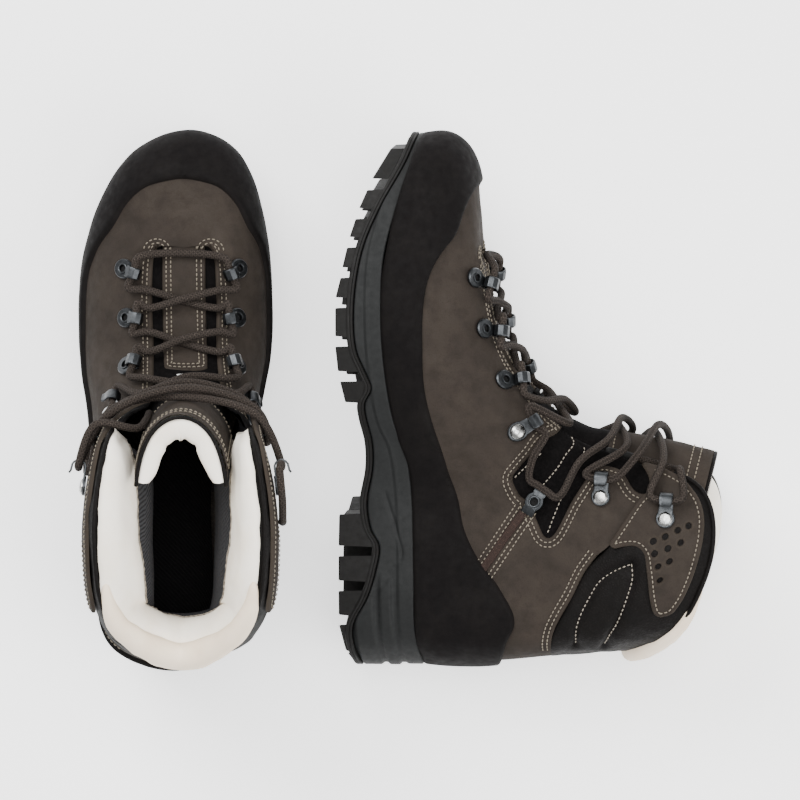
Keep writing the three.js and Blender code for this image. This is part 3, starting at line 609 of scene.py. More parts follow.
class Look:
    """A procedural material, with its patterns measured in millimetres of the object."""

    def __init__(self, name, colour, roughness, metallic=0.0, specular=None):
        self.material = bpy.data.materials.new(name)
        self.material.use_nodes = True
        self.tree = self.material.node_tree
        self.shader = self.tree.nodes["Principled BSDF"]
        self.colour = (*colour, 1)
        self.set("Base Color", self.colour)
        self.set("Roughness", roughness)
        self.set("Metallic", metallic)
        if specular is not None:
            self.set("Specular IOR Level", specular)
        place = self.tree.nodes.new("ShaderNodeTexCoord")
        scaled = self.tree.nodes.new("ShaderNodeVectorMath")
        scaled.operation = "SCALE"
        scaled.inputs["Scale"].default_value = 1000
        self.link(place.outputs["Object"], scaled.inputs[0])
        self.place = scaled.outputs[0]
        self.bump_source = None
        self.painted = None

    def set(self, name, value):
        self.shader.inputs[name].default_value = value

    def link(self, output, target):
        self.tree.links.new(output, target)

    def texture(self, kind, scale, source=None, **settings):
        """A texture node at that scale, placed by the object's own millimetres or by source."""
        node = self.tree.nodes.new(f"ShaderNodeTex{kind}")
        node.inputs["Scale"].default_value = scale
        for name, value in settings.items():
            node.inputs[name].default_value = value
        self.link(source or self.place, node.inputs["Vector"])
        return node

    def noise(self, size, detail=4.0, rough=0.55):
        return self.texture("Noise", 1 / size, Detail=detail, Roughness=rough).outputs["Fac"]

    def cells(self, size):
        node = self.texture("Voronoi", 1 / size)
        node.feature = "DISTANCE_TO_EDGE"
        return node.outputs["Distance"]

    def ribs(self, size, stretch=(1, 1, 1), distortion=0.0):
        """Slanting ribs that far apart."""
        place = self.tree.nodes.new("ShaderNodeMapping")
        place.inputs["Scale"].default_value = stretch
        self.link(self.place, place.inputs["Vector"])
        node = self.texture("Wave", WAVES_PER_UNIT / size, place.outputs["Vector"], Distortion=distortion)
        node.bands_direction = "DIAGONAL"
        return node.outputs["Fac"]

    def wear(self):
        """1 at a panel's cut edges, falling to 0 away from them."""
        node = self.tree.nodes.new("ShaderNodeAttribute")
        node.attribute_name = "edge"
        return node.outputs["Fac"]

    def remap(self, value, low, high, to_low, to_high):
        node = self.tree.nodes.new("ShaderNodeMapRange")
        for name, number in zip(("From Min", "From Max", "To Min", "To Max"), (low, high, to_low, to_high)):
            node.inputs[name].default_value = number
        self.link(value, node.inputs["Value"])
        return node.outputs["Result"]

    def math(self, operation, a, b):
        node = self.tree.nodes.new("ShaderNodeMath")
        node.operation = operation
        for k, value in enumerate((a, b)):
            if isinstance(value, (int, float)):
                node.inputs[k].default_value = value
            else:
                self.link(value, node.inputs[k])
        return node.outputs[0]

    def tint(self, colour, share):
        """Mixes a colour over the base colour where share says."""
        node = self.tree.nodes.new("ShaderNodeMix")
        node.data_type = "RGBA"
        self.link(share, node.inputs["Factor"])
        if self.painted is None:
            node.inputs["A"].default_value = self.colour
        else:
            self.link(self.painted, node.inputs["A"])
        node.inputs["B"].default_value = (*colour, 1)
        self.painted = node.outputs["Result"]
        self.link(self.painted, self.shader.inputs["Base Color"])

    def mottle(self, colour, noise, low, high, share):
        """Mixes in a colour in patches, where a noise runs from low to high, at most to that share."""
        self.tint(colour, self.remap(self.noise(*noise), low, high, 0, share))

    def roughen(self, noise, low, high):
        """Lets the roughness wander from low to high with a noise."""
        self.link(self.remap(self.noise(*noise), 0.3, 0.7, low, high), self.shader.inputs["Roughness"])

    def bump(self, height, distance_mm, strength=1.0):
        node = self.tree.nodes.new("ShaderNodeBump")
        node.inputs["Strength"].default_value = strength
        node.inputs["Distance"].default_value = distance_mm * MM
        self.link(height, node.inputs["Height"])
        if self.bump_source is not None:
            self.link(self.bump_source, node.inputs["Normal"])
        self.bump_source = node.outputs["Normal"]
        self.link(self.bump_source, self.shader.inputs["Normal"])


def rgb(r, g, b):
    """A colour given as screen values from 0 to 255."""
    return tuple((c / 255 / 12.92) if c <= 10 else ((c / 255 + 0.055) / 1.055) ** 2.4 for c in (r, g, b))


def scaled(colour, share):
    """A colour made darker or lighter, at most to full brightness."""
    return tuple(min(1, c * share) for c in colour)


def nubuck_look():
    look = Look("nubuck", rgb(43, 38, 34), 0.86, specular=0.08)
    look.mottle(rgb(53, 47, 42), (30, 5, 0.6), 0.38, 0.7, 0.7)
    look.mottle(rgb(30, 26, 23), (11, 6, 0.65), 0.45, 0.75, 0.6)
    look.mottle(rgb(22, 19, 17), (0.7, 3, 0.6), 0.52, 0.8, 0.4)
    look.tint(rgb(66, 59, 51), look.remap(look.wear(), 0.25, 1, 0, 0.4))
    look.roughen((6, 4), 0.74, 0.92)
    look.bump(look.noise(0.45, 4, 0.7), 0.10, 0.7)
    look.bump(look.noise(3.5, 5, 0.6), 0.25, 0.5)
    return look.material


def rand_look():
    look = Look("rand_rubber", rgb(13, 11, 11), 0.85, specular=0.07)
    look.mottle(rgb(21, 19, 18), (18, 6, 0.65), 0.42, 0.7, 0.6)
    look.mottle(rgb(8, 7, 7), (6, 5, 0.6), 0.48, 0.75, 0.6)
    look.tint(rgb(32, 29, 27), look.remap(look.wear(), 0.3, 1, 0, 0.35))
    look.roughen((4, 4), 0.66, 0.86)
    look.bump(look.cells(0.8), 0.06, 0.6)
    look.bump(look.noise(5, 4), 0.2, 0.4)
    return look.material


def pebbled_look():
    look = Look("pebbled_leather", rgb(10, 8, 7), 0.7, specular=0.1)
    # The raised middles of the pebbles are tinted lighter than the creases between them: a painted highlight
    # on the pebbles and painted shade in the creases.
    look.tint(rgb(17, 14, 13), look.remap(look.cells(1.7), 0.05, 0.4, 0, 0.75))
    look.mottle(rgb(8, 7, 7), (14, 4), 0.45, 0.7, 0.6)
    look.roughen((2, 3), 0.58, 0.76)
    look.bump(look.cells(1.7), 0.35, 0.8)
    look.bump(look.noise(7, 4), 0.5, 0.4)
    return look.material


def gusset_look():
    look = Look("gusset_suede", rgb(9, 8, 8), 0.94, specular=0.05)
    look.mottle(rgb(18, 16, 16), (2.2, 6, 0.7), 0.45, 0.7, 0.8)
    look.bump(look.noise(0.5, 4, 0.7), 0.12, 0.8)
    look.bump(look.noise(6, 4), 0.5, 0.5)
    return look.material


def cream_look(name, colour, shade):
    look = Look(name, colour, 0.6, specular=0.3)
    look.mottle(shade, (22, 4, 0.55), 0.45, 0.72, 0.6)
    look.tint(rgb(200, 186, 166), look.remap(look.wear(), 0.2, 1, 0, 0.45))
    look.roughen((5, 4), 0.48, 0.62)
    look.bump(look.cells(0.9), 0.07, 0.5)
    look.bump(look.noise(9, 5, 0.6), 0.6, 0.35)
    return look.material


def felt_look(name, colour):
    look = Look(name, colour, 0.95, specular=0.06)
    twill = look.math("MULTIPLY", look.ribs(1.3, (1, 1, 1.4), 1.5), look.noise(1.6, 4, 0.7))
    look.tint(scaled(colour, 0.3), look.remap(twill, 0.15, 0.5, 0, 0.85))
    look.mottle(scaled(colour, 2.4), (0.8, 4, 0.8), 0.58, 0.75, 0.5)
    look.bump(twill, 0.4, 0.8)
    return look.material


def braid_look(name, colour, fleck, across, pitch):
    """A braided cord: diamonds of two crossing sets of strands, that many across it and pitch mm long. The
    cord's own uv holds turns round it and metres along it."""
    look = Look(name, colour, 0.85, specular=0.1)
    node = look.tree.nodes.new("ShaderNodeUVMap")
    node.uv_map = "UVMap"
    parts = look.tree.nodes.new("ShaderNodeSeparateXYZ")
    look.link(node.outputs["UV"], parts.inputs[0])
    round_it = look.math("MULTIPLY", parts.outputs["X"], across)
    lengths = look.math("MULTIPLY", parts.outputs["Y"], 1000 / pitch)
    ways = (look.math(way, lengths, round_it) for way in ("ADD", "SUBTRACT"))
    one, other = (look.math("PINGPONG", phase, 0.5) for phase in ways)
    strands = look.math("MULTIPLY", look.math("MAXIMUM", one, other), 2.0)
    apart = look.math("ABSOLUTE", look.math("SUBTRACT", one, other), 0)
    weave = look.math("MULTIPLY", strands, look.remap(apart, 0, 0.5, 0.55, 1))
    # The gaps between the strands are darkened: painted shade in the braid's grooves.
    look.tint(scaled(colour, 0.35), look.remap(weave, 0.2, 0.75, 0.9, 0))
    look.tint(fleck, look.remap(look.math("MULTIPLY", weave, look.noise(1.1, 2)), 0.42, 0.6, 0, 0.85))
    look.bump(weave, 0.45, 0.9)
    return look.material


def webbing_look():
    look = Look("webbing", rgb(54, 44, 40), 0.88, specular=0.08)
    ribs = look.ribs(0.55, distortion=0.2)
    # Darker between the raised ribs: painted shade in the grooves of the weave.
    look.tint(rgb(30, 22, 21), look.remap(ribs, 0.2, 0.8, 0.7, 0))
    look.mottle(rgb(84, 66, 58), (1.2, 3), 0.55, 0.75, 0.5)
    look.bump(ribs, 0.3, 0.8)
    return look.material


def metal_look(name, colour, roughness, grain):
    look = Look(name, colour, roughness, metallic=1.0)
    look.mottle(scaled(colour, 0.45), (2.6, 5, 0.65), 0.48, 0.72, 0.7)
    look.mottle(scaled(colour, 1.9), (0.9, 4, 0.7), 0.6, 0.75, 0.5)
    look.roughen((1.4, 4), roughness - 0.06, roughness + 0.12)
    look.bump(look.noise(0.35, 3), grain, 0.5)
    return look.material


def rubber_look(name, colour, roughness, marks):
    look = Look(name, colour, roughness, specular=0.2)
    look.mottle(scaled(colour, 1.5), (15, 5, 0.6), 0.42, 0.72, 0.6)
    look.mottle(marks, (2.4, 5, 0.75), 0.6, 0.8, 0.4)
    look.mottle(scaled(colour, 0.6), (5, 4, 0.6), 0.55, 0.8, 0.6)
    look.roughen((3, 4), roughness - 0.08, roughness + 0.1)
    look.bump(look.noise(0.5, 4, 0.7), 0.08, 0.6)
    look.bump(look.noise(8, 4), 0.3, 0.4)
    return look.material


def thread_look(name, colour):
    look = Look(name, colour, 0.75, specular=0.15)
    look.tint(scaled(colour, 0.5), look.remap(look.ribs(0.35), 0.3, 0.7, 0.5, 0))
    look.mottle(scaled(colour, 0.65), (12, 3), 0.4, 0.7, 0.5)
    return look.material


def board_look(name, colour, fibre):
    """Pressed fibre board: short fibres that lie every way, and darker flecks."""
    look = Look(name, colour, 0.9, specular=0.1)
    look.mottle(fibre, (1.1, 5, 0.8), 0.5, 0.7, 0.7)
    look.mottle(scaled(colour, 0.5), (3.5, 4, 0.7), 0.55, 0.75, 0.6)
    look.bump(look.noise(0.6, 4, 0.8), 0.15, 0.7)
    return look.material


FLOOR_GLOW = 1.1  # a floor of lit white card, which keeps the shadows pale


def floor_look():
    look = Look("floor", (0.9, 0.9, 0.9), 0.9, specular=0.1)
    look.set("Emission Color", (1, 1, 1, 1))
    look.set("Emission Strength", FLOOR_GLOW)
    look.mottle((0.86, 0.86, 0.865), (120, 3), 0.3, 0.7, 0.5)
    return look.material


LOOKS = {
    "nubuck": nubuck_look(),
    "rand": rand_look(),
    "pebbled": pebbled_look(),
    "gusset": gusset_look(),
    "cream": cream_look("cream_leather", rgb(246, 239, 226), rgb(236, 224, 204)),
    "warm_cream": cream_look("warm_cream_leather", rgb(234, 217, 194), rgb(224, 204, 178)),
    "felt": felt_look("grey_textile", rgb(62, 62, 64)),
    "insole": felt_look("dark_insole", rgb(20, 19, 20)),
    "lace": braid_look("lace_braid", rgb(52, 46, 42), rgb(98, 88, 80), 6, 2.6),
    "webbing": webbing_look(),
    "gunmetal": metal_look("gunmetal", rgb(62, 64, 66), 0.36, 0.05),
    "silver": metal_look("bright_rivet", rgb(160, 160, 158), 0.22, 0.02),
    "midsole": rubber_look("midsole_foam", rgb(21, 22, 22), 0.66, rgb(42, 44, 44)),
    "outsole": rubber_look("outsole_rubber", rgb(14, 13, 12), 0.66, rgb(32, 30, 28)),
    "thread": thread_look("tan_thread", rgb(124, 116, 103)),
    "pale_thread": thread_look("grey_thread", rgb(146, 138, 126)),
    # a near-black plate seen through a rivet's hole: painted shade that stands for the hollow inside the
    # rivet
    "hole_shade": rubber_look("painted_hole_shade", rgb(8, 8, 8), 0.7, rgb(14, 14, 15)),
    "floor": floor_look(),
    "board": board_look("fibre_board", rgb(50, 47, 44), rgb(84, 78, 70)),
    "counter": board_look("heel_board", rgb(40, 37, 34), rgb(66, 60, 54)),
    "shank": metal_look("coated_steel", rgb(24, 25, 27), 0.45, 0.04),
}
CAD_LOOKS = {"shank": "shank", "lasting_board": "board", "heel_counter": "counter"}


# ---- One boot ----

WEAR_WIDTH = 1.3  # how far the wear reaches in from a cut edge
TONGUE_HINGE = np.array([0, -3, -3])  # from the tongue's surface at its bend to the joint's axis
FOLD_LENGTH = 0.07  # how far below and above the tongue's bend bend() takes two points, as a share of the tongue's length


class Boot:
    """A boot's place in the frame, its two surfaces, and the pieces that it is given."""

    def __init__(self, name):
        self.name = name
        self.reach = REACH[name]
        self.body = f"{name}_boot"
        self.upper = Surface(lambda u, v: lean(base_point(u, v), self.reach), self.upper_scale)
        self.tongue = Surface(lambda a, b: lean(tongue_base(a, b), self.reach), lambda a, b: (26, 190))
        joints = {joint["name"]: joint for joint in frame["joints"]}
        hinge = joints[f"{name}_tongue_fold"]
        hand = 1 if name == "left" else -1
        up = np.array(joints[f"{name}_footbed_lift"]["axis"])
        inner = np.array(hinge["axis"]) * hand
        toe = np.cross(up, inner) * hand
        self.turn = np.stack([inner, toe, up], 1)
        self.mirrored = hand < 0
        pivot = self.tongue.point(0, TONGUE_BEND) + TONGUE_HINGE
        self.shift = np.array(hinge["pos_m"]) / MM - self.turn @ pivot

    @staticmethod
    def upper_scale(u, v):
        """About how many millimetres one u and one v are."""
        station = CAGE[int(round(float(from_toe(u))))]
        return 33, np.linalg.norm(station[3] - station[0]) + 18

    def world(self, points):
        return (np.asarray(points) @ self.turn.T + self.shift) * MM

    def piece(self, name, shape, look, slot, body=None, replaces=False, sharp=38, edge=None, uv=None):
        """Makes a mesh piece from points in millimetres and faces, and puts it on a CAD body unless it is for
        the tongue. With replaces it stands in for the CAD node of its name. edge is each point's distance
        from a cut edge."""
        points, faces = shape[:2]
        mesh = bpy.data.meshes.new(f"{self.name}_{name}")
        order = -1 if self.mirrored else 1
        mesh.from_pydata(self.world(points).tolist(), [], [f[::order] for f in faces])
        mesh.validate()
        mesh.polygons.foreach_set("use_smooth", [True] * len(mesh.polygons))
        mesh.set_sharp_from_angle(angle=math.radians(sharp))
        if edge is not None:
            wear = mesh.attributes.new("edge", "FLOAT", "POINT")
            wear.data.foreach_set("value", np.exp(-edge / WEAR_WIDTH).astype(np.float32))
        if uv is not None:
            layer = mesh.uv_layers.new(name="UVMap")
            corner = np.zeros(len(mesh.loops), np.int32)
            mesh.loops.foreach_get("vertex_index", corner)
            layer.data.foreach_set("uv", (uv[corner] * (1, MM)).astype(np.float32).ravel())
        mesh.materials.append(LOOKS[look])
        thing = bpy.data.objects.new(f"{self.name}_{name}", mesh)
        bpy.context.scene.collection.objects.link(thing)
        if replaces:
            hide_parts(f"{self.name}_{name}")
        if body == "tongue":
            self.bend(thing)
        else:
            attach(thing, f"{self.name}_{body}" if body else self.body)
        return thing

    def bend(self, thing):
        """Bakes a piece's place into its points, and puts it on no body."""
        start = self.world(self.tongue.point(0, TONGUE_BEND - FOLD_LENGTH))
        end = self.world(self.tongue.point(0, TONGUE_BEND + FOLD_LENGTH))
        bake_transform(thing)


left = Boot("left")
right = Boot("right")
BOOTS = (left, right)
SIDES = {"inner": 1, "outer": -1}

# ---- Lace, along the CAD lace's route ----

EYE = {"y": 9.5, "z": 4.7, "hole": 3.3, "wall": 1.2, "width": 6.5}
CURL = {"y": 10, "z": 4.9, "inner": 3.3, "wall": 1.2}
THROUGH_EYE = {"y": EYE["y"], "z": EYE["z"], "half": EYE["width"] / 2, "turned": 0}
THROUGH_CURL = {"y": CURL["y"], "z": CURL["z"], "half": 3.5, "turned": 2}
FITTINGS = {
    "eyelet_1": {"at": (228, 84.5), "turn": 0, "lift": 1.5, "lace": THROUGH_EYE},
    "eyelet_2": {"at": (199, 90), "turn": 0, "lift": 1.5, "lace": THROUGH_EYE},
    "eyelet_3": {"at": (169.5, 98.5), "turn": 0, "lift": 1.5, "lace": THROUGH_EYE},
    "locking_hook": {"at": (141, 103), "turn": 30, "lift": 1.1, "lace": THROUGH_CURL},
    "lock_ring": {"at": (101.5, 112.5), "turn": 50, "lift": 1.6, "lace": THROUGH_EYE},
    "speed_hook_1": {"at": (105, 150), "turn": 82, "lift": 0.9, "lace": THROUGH_CURL},
    "speed_hook_2": {"at": (93, 187), "turn": 82, "lift": 5.9, "lace": THROUGH_CURL},
}
OVER_FACING = 5  # height of the lace's middle line where it crosses the throat's edge
OVER_CUFF = 6.8  # and where it crosses the cuff's front edge
CUFF_START = 6  # u where the throat's edge becomes the cuff's front edge
NEAR_TOP = 0.985  # v of the place where the lace crosses an edge
TURN_OUT = 5.6  # how far the lace runs straight out of a fitting before it turns
UNDER = 3.2  # height of the lower strand's middle line over the tongue
ABOVE = 8.4  # and of the strand that crosses it


def fitting_frame(boot, name, side):
    """A fitting's place: the middle of its rivet, and its directions across, the way it points, and out."""
    fitting = FITTINGS[name]
    u, v = locate(*fitting["at"])
    u *= side
    origin = boot.upper.at(u, v, fitting["lift"])
    normal = boot.upper.normal(u, v)
    up = boot.upper.point(u, v + 0.02) - boot.upper.point(u, v - 0.02)
    up = unit(up - normal * np.dot(up, normal))
    forward = np.cross(up, normal) * side
    angle = math.radians(fitting["turn"])
    pointing = up * math.cos(angle) + forward * math.sin(angle)
    return origin, np.stack([np.cross(pointing, normal), pointing, normal])


def lace_pass(boot, name, side):
    """The lace's points through a fitting on a side, in the order that it climbs."""
    origin, axes = fitting_frame(boot, name, side)
    place = FITTINGS[name]["lace"]
    half, turned = place["half"], place["turned"]
    steps = ((-half - TURN_OUT, turned), (-half - 0.2, 0), (half + 0.2, 0), (half + TURN_OUT, turned))
    local = [(-across * side, place["y"] + forward, place["z"]) for across, forward in steps]
    return [origin + np.array(p) @ axes for p in local]


def over_tongue(boot, p, height):
    """The point over the middle of the tongue nearest to p, at a height above it."""
    b = np.linspace(0, 1, 91)
    q = boot.tongue.point(0 * b, b)
    best = b[np.argmin((q[:, 1] - p[1]) ** 2 + (q[:, 2] - p[2]) ** 2)]
    return boot.tongue.at(0, best, height)


def crossing(boot, side, start, end, height):
    """The lace's crossing from one side to the other over both facings' edges and the tongue."""
    lift = lambda u: OVER_CUFF if u > CUFF_START else OVER_FACING
    first = boot.upper.at(side * start, NEAR_TOP, lift(start))
    last = boot.upper.at(-side * end, NEAR_TOP, lift(end))
    return [first, over_tongue(boot, (first + last) / 2, height), last]


def over(boot, side, y, z, lift):
    """A point over the upper, from its length and height on the standing boot."""
    u, v = locate(y, z)
    return boot.upper.at(side * u, v, lift)


def half_lace(boot, side, first, loose):
    """One half of the lace, from the first eyelet on a side to its end. first is 1 for the half that starts
    as the upper strand. The numbers are u where the lace leaves one edge and reaches the other, or y, z and
    height of a point on its way."""
    other = -side
    height = lambda turn: ABOVE if (turn + first) % 2 else UNDER
    return [
        *lace_pass(boot, "eyelet_1", side),
        *crossing(boot, side, 2.82, 3.15, height(0)),
        *lace_pass(boot, "eyelet_2", other),
        *crossing(boot, other, 3.62, 4.05, height(1)),
        *lace_pass(boot, "eyelet_3", side),
        *crossing(boot, side, 4.6, 5.1, height(0)),
        *lace_pass(boot, "locking_hook", other),
        over(boot, other, 127, 111.5, 5),
        *lace_pass(boot, "lock_ring", other),
        over(boot, other, 106, 128, 4.6),
        over(boot, other, 124, 138, 4.2),
        *crossing(boot, other, 5.7, 5.95, height(1)),
        *lace_pass(boot, "speed_hook_1", side),
        *crossing(boot, side, 6.15, 6.45, height(0)),
        *lace_pass(boot, "speed_hook_2", other),
        *(loose_end(boot, other) if loose else tucked_end(boot, other)),
    ]


def tucked_end(boot, side):
    """The end of the lace goes round the cuff's front corner, and down beside the tongue."""
    return [
        boot.upper.at(side * 6.75, 0.97, 9),
        boot.tongue.at(side * 0.66, 0.9, 6.5),
        boot.tongue.at(side * 0.62, 0.83, 3.2),
        boot.tongue.at(side * 0.62, 0.74, 3),
    ]


def loose_end(boot, side):
    """The end of the lace turns back over the cuff, and hangs behind the hook."""
    places = ((99, 202, 10.5), (88, 199, 9.5), (80, 186, 8.5), (79, 168, 8.5))
    return [over(boot, side, y, z, lift) for y, z, lift in places]


def lace_line(boot, loose):
    outer = half_lace(boot, -1, 0, loose)
    inner = half_lace(boot, 1, 1, False)
    bar = over_tongue(boot, np.array([0, 238, 86]), UNDER)
    points = np.array([*outer[::-1], bar, *inner])
    line = spline_point(points)(np.linspace(0, 1, 14 * len(points)))
    return evenly(line, 1.1)


AGLET_LENGTH = 17


def make_lace(boot):
    """The braided lace, and the tip at its hanging or tucked end."""
    line = lace_line(boot, loose=boot is left)
    verts, faces, uv = tube(line, LACE_DIAMETER / 2, sides=14)
    boot.piece("lace", (verts, faces), "lace", "lace", replaces=True, sharp=60, uv=uv)
    s = length_along(line)
    tip = line[s < AGLET_LENGTH]
    boot.piece("lace_tip", tube(tip, LACE_DIAMETER / 2 + 0.15, 14)[:2], "outsole", "lace", sharp=60)


for boot in BOOTS:
    make_lace(boot)

# ---- Sole ----

SOLE_BACK, SOLE_FRONT = 1.2, 308.8  # y of the outline's two ends


def sole_outline(inset):
    """Points round the sole, from the heel up the inner side, and the outward direction at each."""
    turn = turns(360)
    y = SOLE_BACK + (SOLE_FRONT - SOLE_BACK) * (1 - np.cos(turn)) / 2
    half = np.maximum(sole_half_width(y) - inset, 3)
    side = np.where(turn < math.pi, 1.0, -1.0)
    half = np.where((y < SOLE_BACK + 0.2) | (y > SOLE_FRONT - 0.2), 0.0, half)
    x = side * half + foot_skew(y)
    p = np.stack([x, y], 1)
    p = evenly(np.vstack([p, p[:1]]), 2.0)[:-1]
    for _ in range(2):
        p = (np.roll(p, 1, 0) + 2 * p + np.roll(p, -1, 0)) / 4
    along = unit(np.roll(p, -1, 0) - np.roll(p, 1, 0))
    return p, np.stack([along[:, 1], -along[:, 0]], 1)


def bump_at(x, middle, half, soft=1.6):
    """1 within half of the middle, falling smoothly to 0 over soft."""
    return smooth((half + soft - np.abs(x - middle)) / soft)


def midsole_bulge(y, below):
    """How far the midsole's side stands out, by length and by depth below the rim."""
    band = 0.7 * bump_at(below, 4.6, 3.6, 2.2)
    heel = smooth((62 - y) / 16)
    ridges = heel * (bump_at(below, 16.5, 2.4, 2) + bump_at(below, 29, 4.6, 2))
    waist = 1 - heel
    belly = waist * 0.5 * bump_at(below, 17, 5, 6)
    return -1.5 + 1.3 * band + 1.4 * ridges + belly


HEEL_GROOVE = [(103, 27), (86, 32.5), (70, 36.5), (66, 35.5), (58, 29.5), (50, 24), (44, 18)]


def make_midsole(boot):
    """The midsole's sides, with the bands round its heel and the groove that ends them, and its rims."""
    outline, outward = sole_outline(0.6)
    y = outline[:, 1]
    low, high = split_height(y) + 0.35, rim_height(y)
    share = np.linspace(0, 1, 44)
    z = low[None] + (high - low)[None] * share[:, None]
    everywhere = np.broadcast_to(y, z.shape)
    bulge = midsole_bulge(everywhere, high[None] - z)
    flat = np.stack([everywhere.ravel(), z.ravel()], 1)
    near = distances(flat, evenly(np.array(HEEL_GROOVE), 0.7)).reshape(z.shape)
    bulge = bulge - 0.8 * np.exp(-((near / 0.8) ** 2))
    bulge = bulge - 0.8 * rounding(np.minimum(z - low, high - z) / 0.9)
    body = outline[None] + outward[None] * bulge[..., None]
    side = np.concatenate([body, z[..., None]], -1)
    rings = []
    for inset, drop in ((3.0, 0.15), (8.0, 0.3)):
        ring = outline - outward * inset
        rings.append(np.concatenate([ring, (high - drop)[:, None]], 1))
    under = np.concatenate([outline - outward * 3.0, (low + 0.1)[:, None]], 1)
    shape = ringed(np.concatenate([under[None], side, np.array(rings)]))
    boot.piece("midsole", shape, "midsole", "midsole", replaces=True, sharp=50)


# The tread's lugs, as (back, front) along the sole.
EDGE_LUGS = (
    (12, 28), (34, 48), (54, 68), (74, 92), (158, 170), (176, 190), (196, 212), (218, 229), (235, 246),
    (252, 262), (268, 278),
)
MIDDLE_LUGS = (
    (38, 50), (58, 70), (78, 88), (170, 182), (190, 202), (210, 221), (229, 239), (247, 256), (264, 273),
)
END_LUGS = ((284, 300), (3, 9))
LUG_BEVEL = 0.9  # how far a lug widens from its ground face to its side, and again to its foot


def lug(corners):
    """One lug of the tread, from its four corners on the ground side as (share of the half width, y)."""
    share, y = np.array(corners, float).T
    x = share * np.maximum(sole_half_width(y) - 1.2, 2) + foot_skew(y)
    p = np.stack([x, y], 1)
    away = unit(p - p.mean(0))
    heights = (ground_height(y), ground_height(y) + LUG_BEVEL * 0.7, split_height(y) - TREAD_DEPTH / 2)
    rings = [np.concatenate([p + away * grow, z[:, None]], 1)
             for grow, z in zip((-LUG_BEVEL, 0, LUG_BEVEL), heights)]
    verts, faces = ringed(rings)
    return verts, faces + lids(3, 4)


# The outsole's edge from its lower side up: the share of its height, and how far it stands out.
SOLE_EDGE = (
    (0, -1.2), (0.12, -0.3), (0.3, 0), (0.55, -0.1), (0.62, -0.5), (0.68, -0.1), (0.92, 0), (1, -0.5),
)


def make_outsole(boot):
    """The outsole: its grooved edge, the sheet between the lugs, and the lugs."""
    outline, outward = sole_outline(0)
    y = outline[:, 1]
    top, bottom = split_height(y), split_height(y) - TREAD_DEPTH
    inward = outward * 30 * clamp01(sole_half_width(y) / 50)[:, None]
    rings = [np.concatenate([outline - inward, (bottom + 0.2)[:, None]], 1)]
    for share, out in SOLE_EDGE:
        rings.append(np.concatenate([outline + outward * out, (bottom + (top - bottom) * share)[:, None]], 1))
    rings.append(np.concatenate([outline - outward * 4, top[:, None]], 1))
    y = np.linspace(4, 306, 60)[:, None]
    across = np.linspace(-1, 1, 9)[None]
    x = across * np.maximum(sole_half_width(y) - 3, 1) + foot_skew(y)
    sheet = np.stack(np.broadcast_arrays(x, y, split_height(y) - TREAD_DEPTH + 0.15), -1)
    parts = [ringed(rings), (sheet.reshape(-1, 3), [f[::-1] for f in grid_faces(*sheet.shape[:2])])]
    for back, front in EDGE_LUGS:
        for side in (-1, 1):
            corners = [(side, back), (side, front), (side * 0.5, front - 5), (side * 0.42, back - 2)]
            parts.append(lug(corners if side < 0 else corners[::-1]))
    for back, front in MIDDLE_LUGS:
        parts.append(lug([(-0.3, back), (-0.24, front), (0.24, front), (0.3, back)]))
    for back, front in END_LUGS:
        parts.append(lug([(-0.9, back), (-0.8, front), (0.8, front), (0.9, back)]))
    boot.piece("outsole", merged(parts), "outsole", "outsole", replaces=True, sharp=30)


for boot in BOOTS:
    make_midsole(boot)
    make_outsole(boot)

# ---- Upper: outlines as seen from the inner side, as (y, z) of the standing boot ----

RAND_THICKNESS = 3.2
# v of the rand's upper edge, by u.
RAND_TOP = through([
    (0, 0.66), (0.6, 0.665), (1.04, 0.65), (1.6, 0.62), (2.1, 0.57), (2.5, 0.41), (2.8, 0.325), (3.2, 0.28),
    (3.8, 0.25), (4.5, 0.2), (5.3, 0.185), (6.3, 0.168), (7, 0.175), (7.4, 0.19), (7.8, 0.245), (8.2, 0.325),
    (8.6, 0.386), (9, 0.361), (10, 0.352),
])
PAD_START = 6.6  # u where the padded collar begins
PAD_RISE = 3  # how far its padding lifts the leather
# v of the padded collar's lower edge, by u.
PAD_LOW = through([
    (6.6, 0.985), (7, 0.9), (7.4, 0.76), (7.8, 0.68), (8, 0.632), (8.44, 0.583), (8.9, 0.545), (9.4, 0.565),
    (10, 0.61),
])
RAND_SEAM = [(54.6, 48), (68, 58), (80.8, 69)]
SEAM_FOOT = [(50, 77.5), (59, 84)]
SEAM_TOP = [(78, 96.6), (96.5, 108.8)]
GUSSET_LEFT = [
    (96.5, 108.8), (100, 103.8), (107, 100.6), (113.3, 99.3), (119, 102.6), (128, 110), (136, 116.5),
    (141.2, 126.5),
]
GUSSET_RIGHT = [
    (96.5, 108.8), (89, 112), (80.5, 115.6), (77, 117.6), (76, 120), (78, 123), (97, 133), (112, 140.4),
    (118, 143.4),
]
TAB = [(118, 143.4), (121.6, 147.5), (122.6, 153), (121, 159.5), (116, 164)]
NOTCH = [(116, 164), (110, 166.8), (105.6, 169.6), (103.6, 173), (104.8, 177.5)]
PAD_EDGE = [(67, 148), (57, 141), (42.5, 134), (31, 127.5), (22, 123.4), (14, 121.8), (8.6, 121.9)]
HIDDEN_EDGE = [(104.8, 177.5), (92, 170), (80, 162), (72, 154), (67, 148)]  # under the overlay
OVERLAY_LOWER = [
    (106, 177), (98, 171), (88, 164.5), (78, 158), (73.6, 155.4), (71.4, 157.5), (72.6, 164), (72.6, 171),
    (69, 175), (60, 176.6), (46, 178), (35.5, 180.4), (33.5, 184),
]
OVERLAY_UPPER = [
    (33.5, 184), (35.5, 190.5), (43, 196.5), (53, 201.3), (66, 205.6), (79, 208.4), (90, 208.6), (100, 205.6),
]
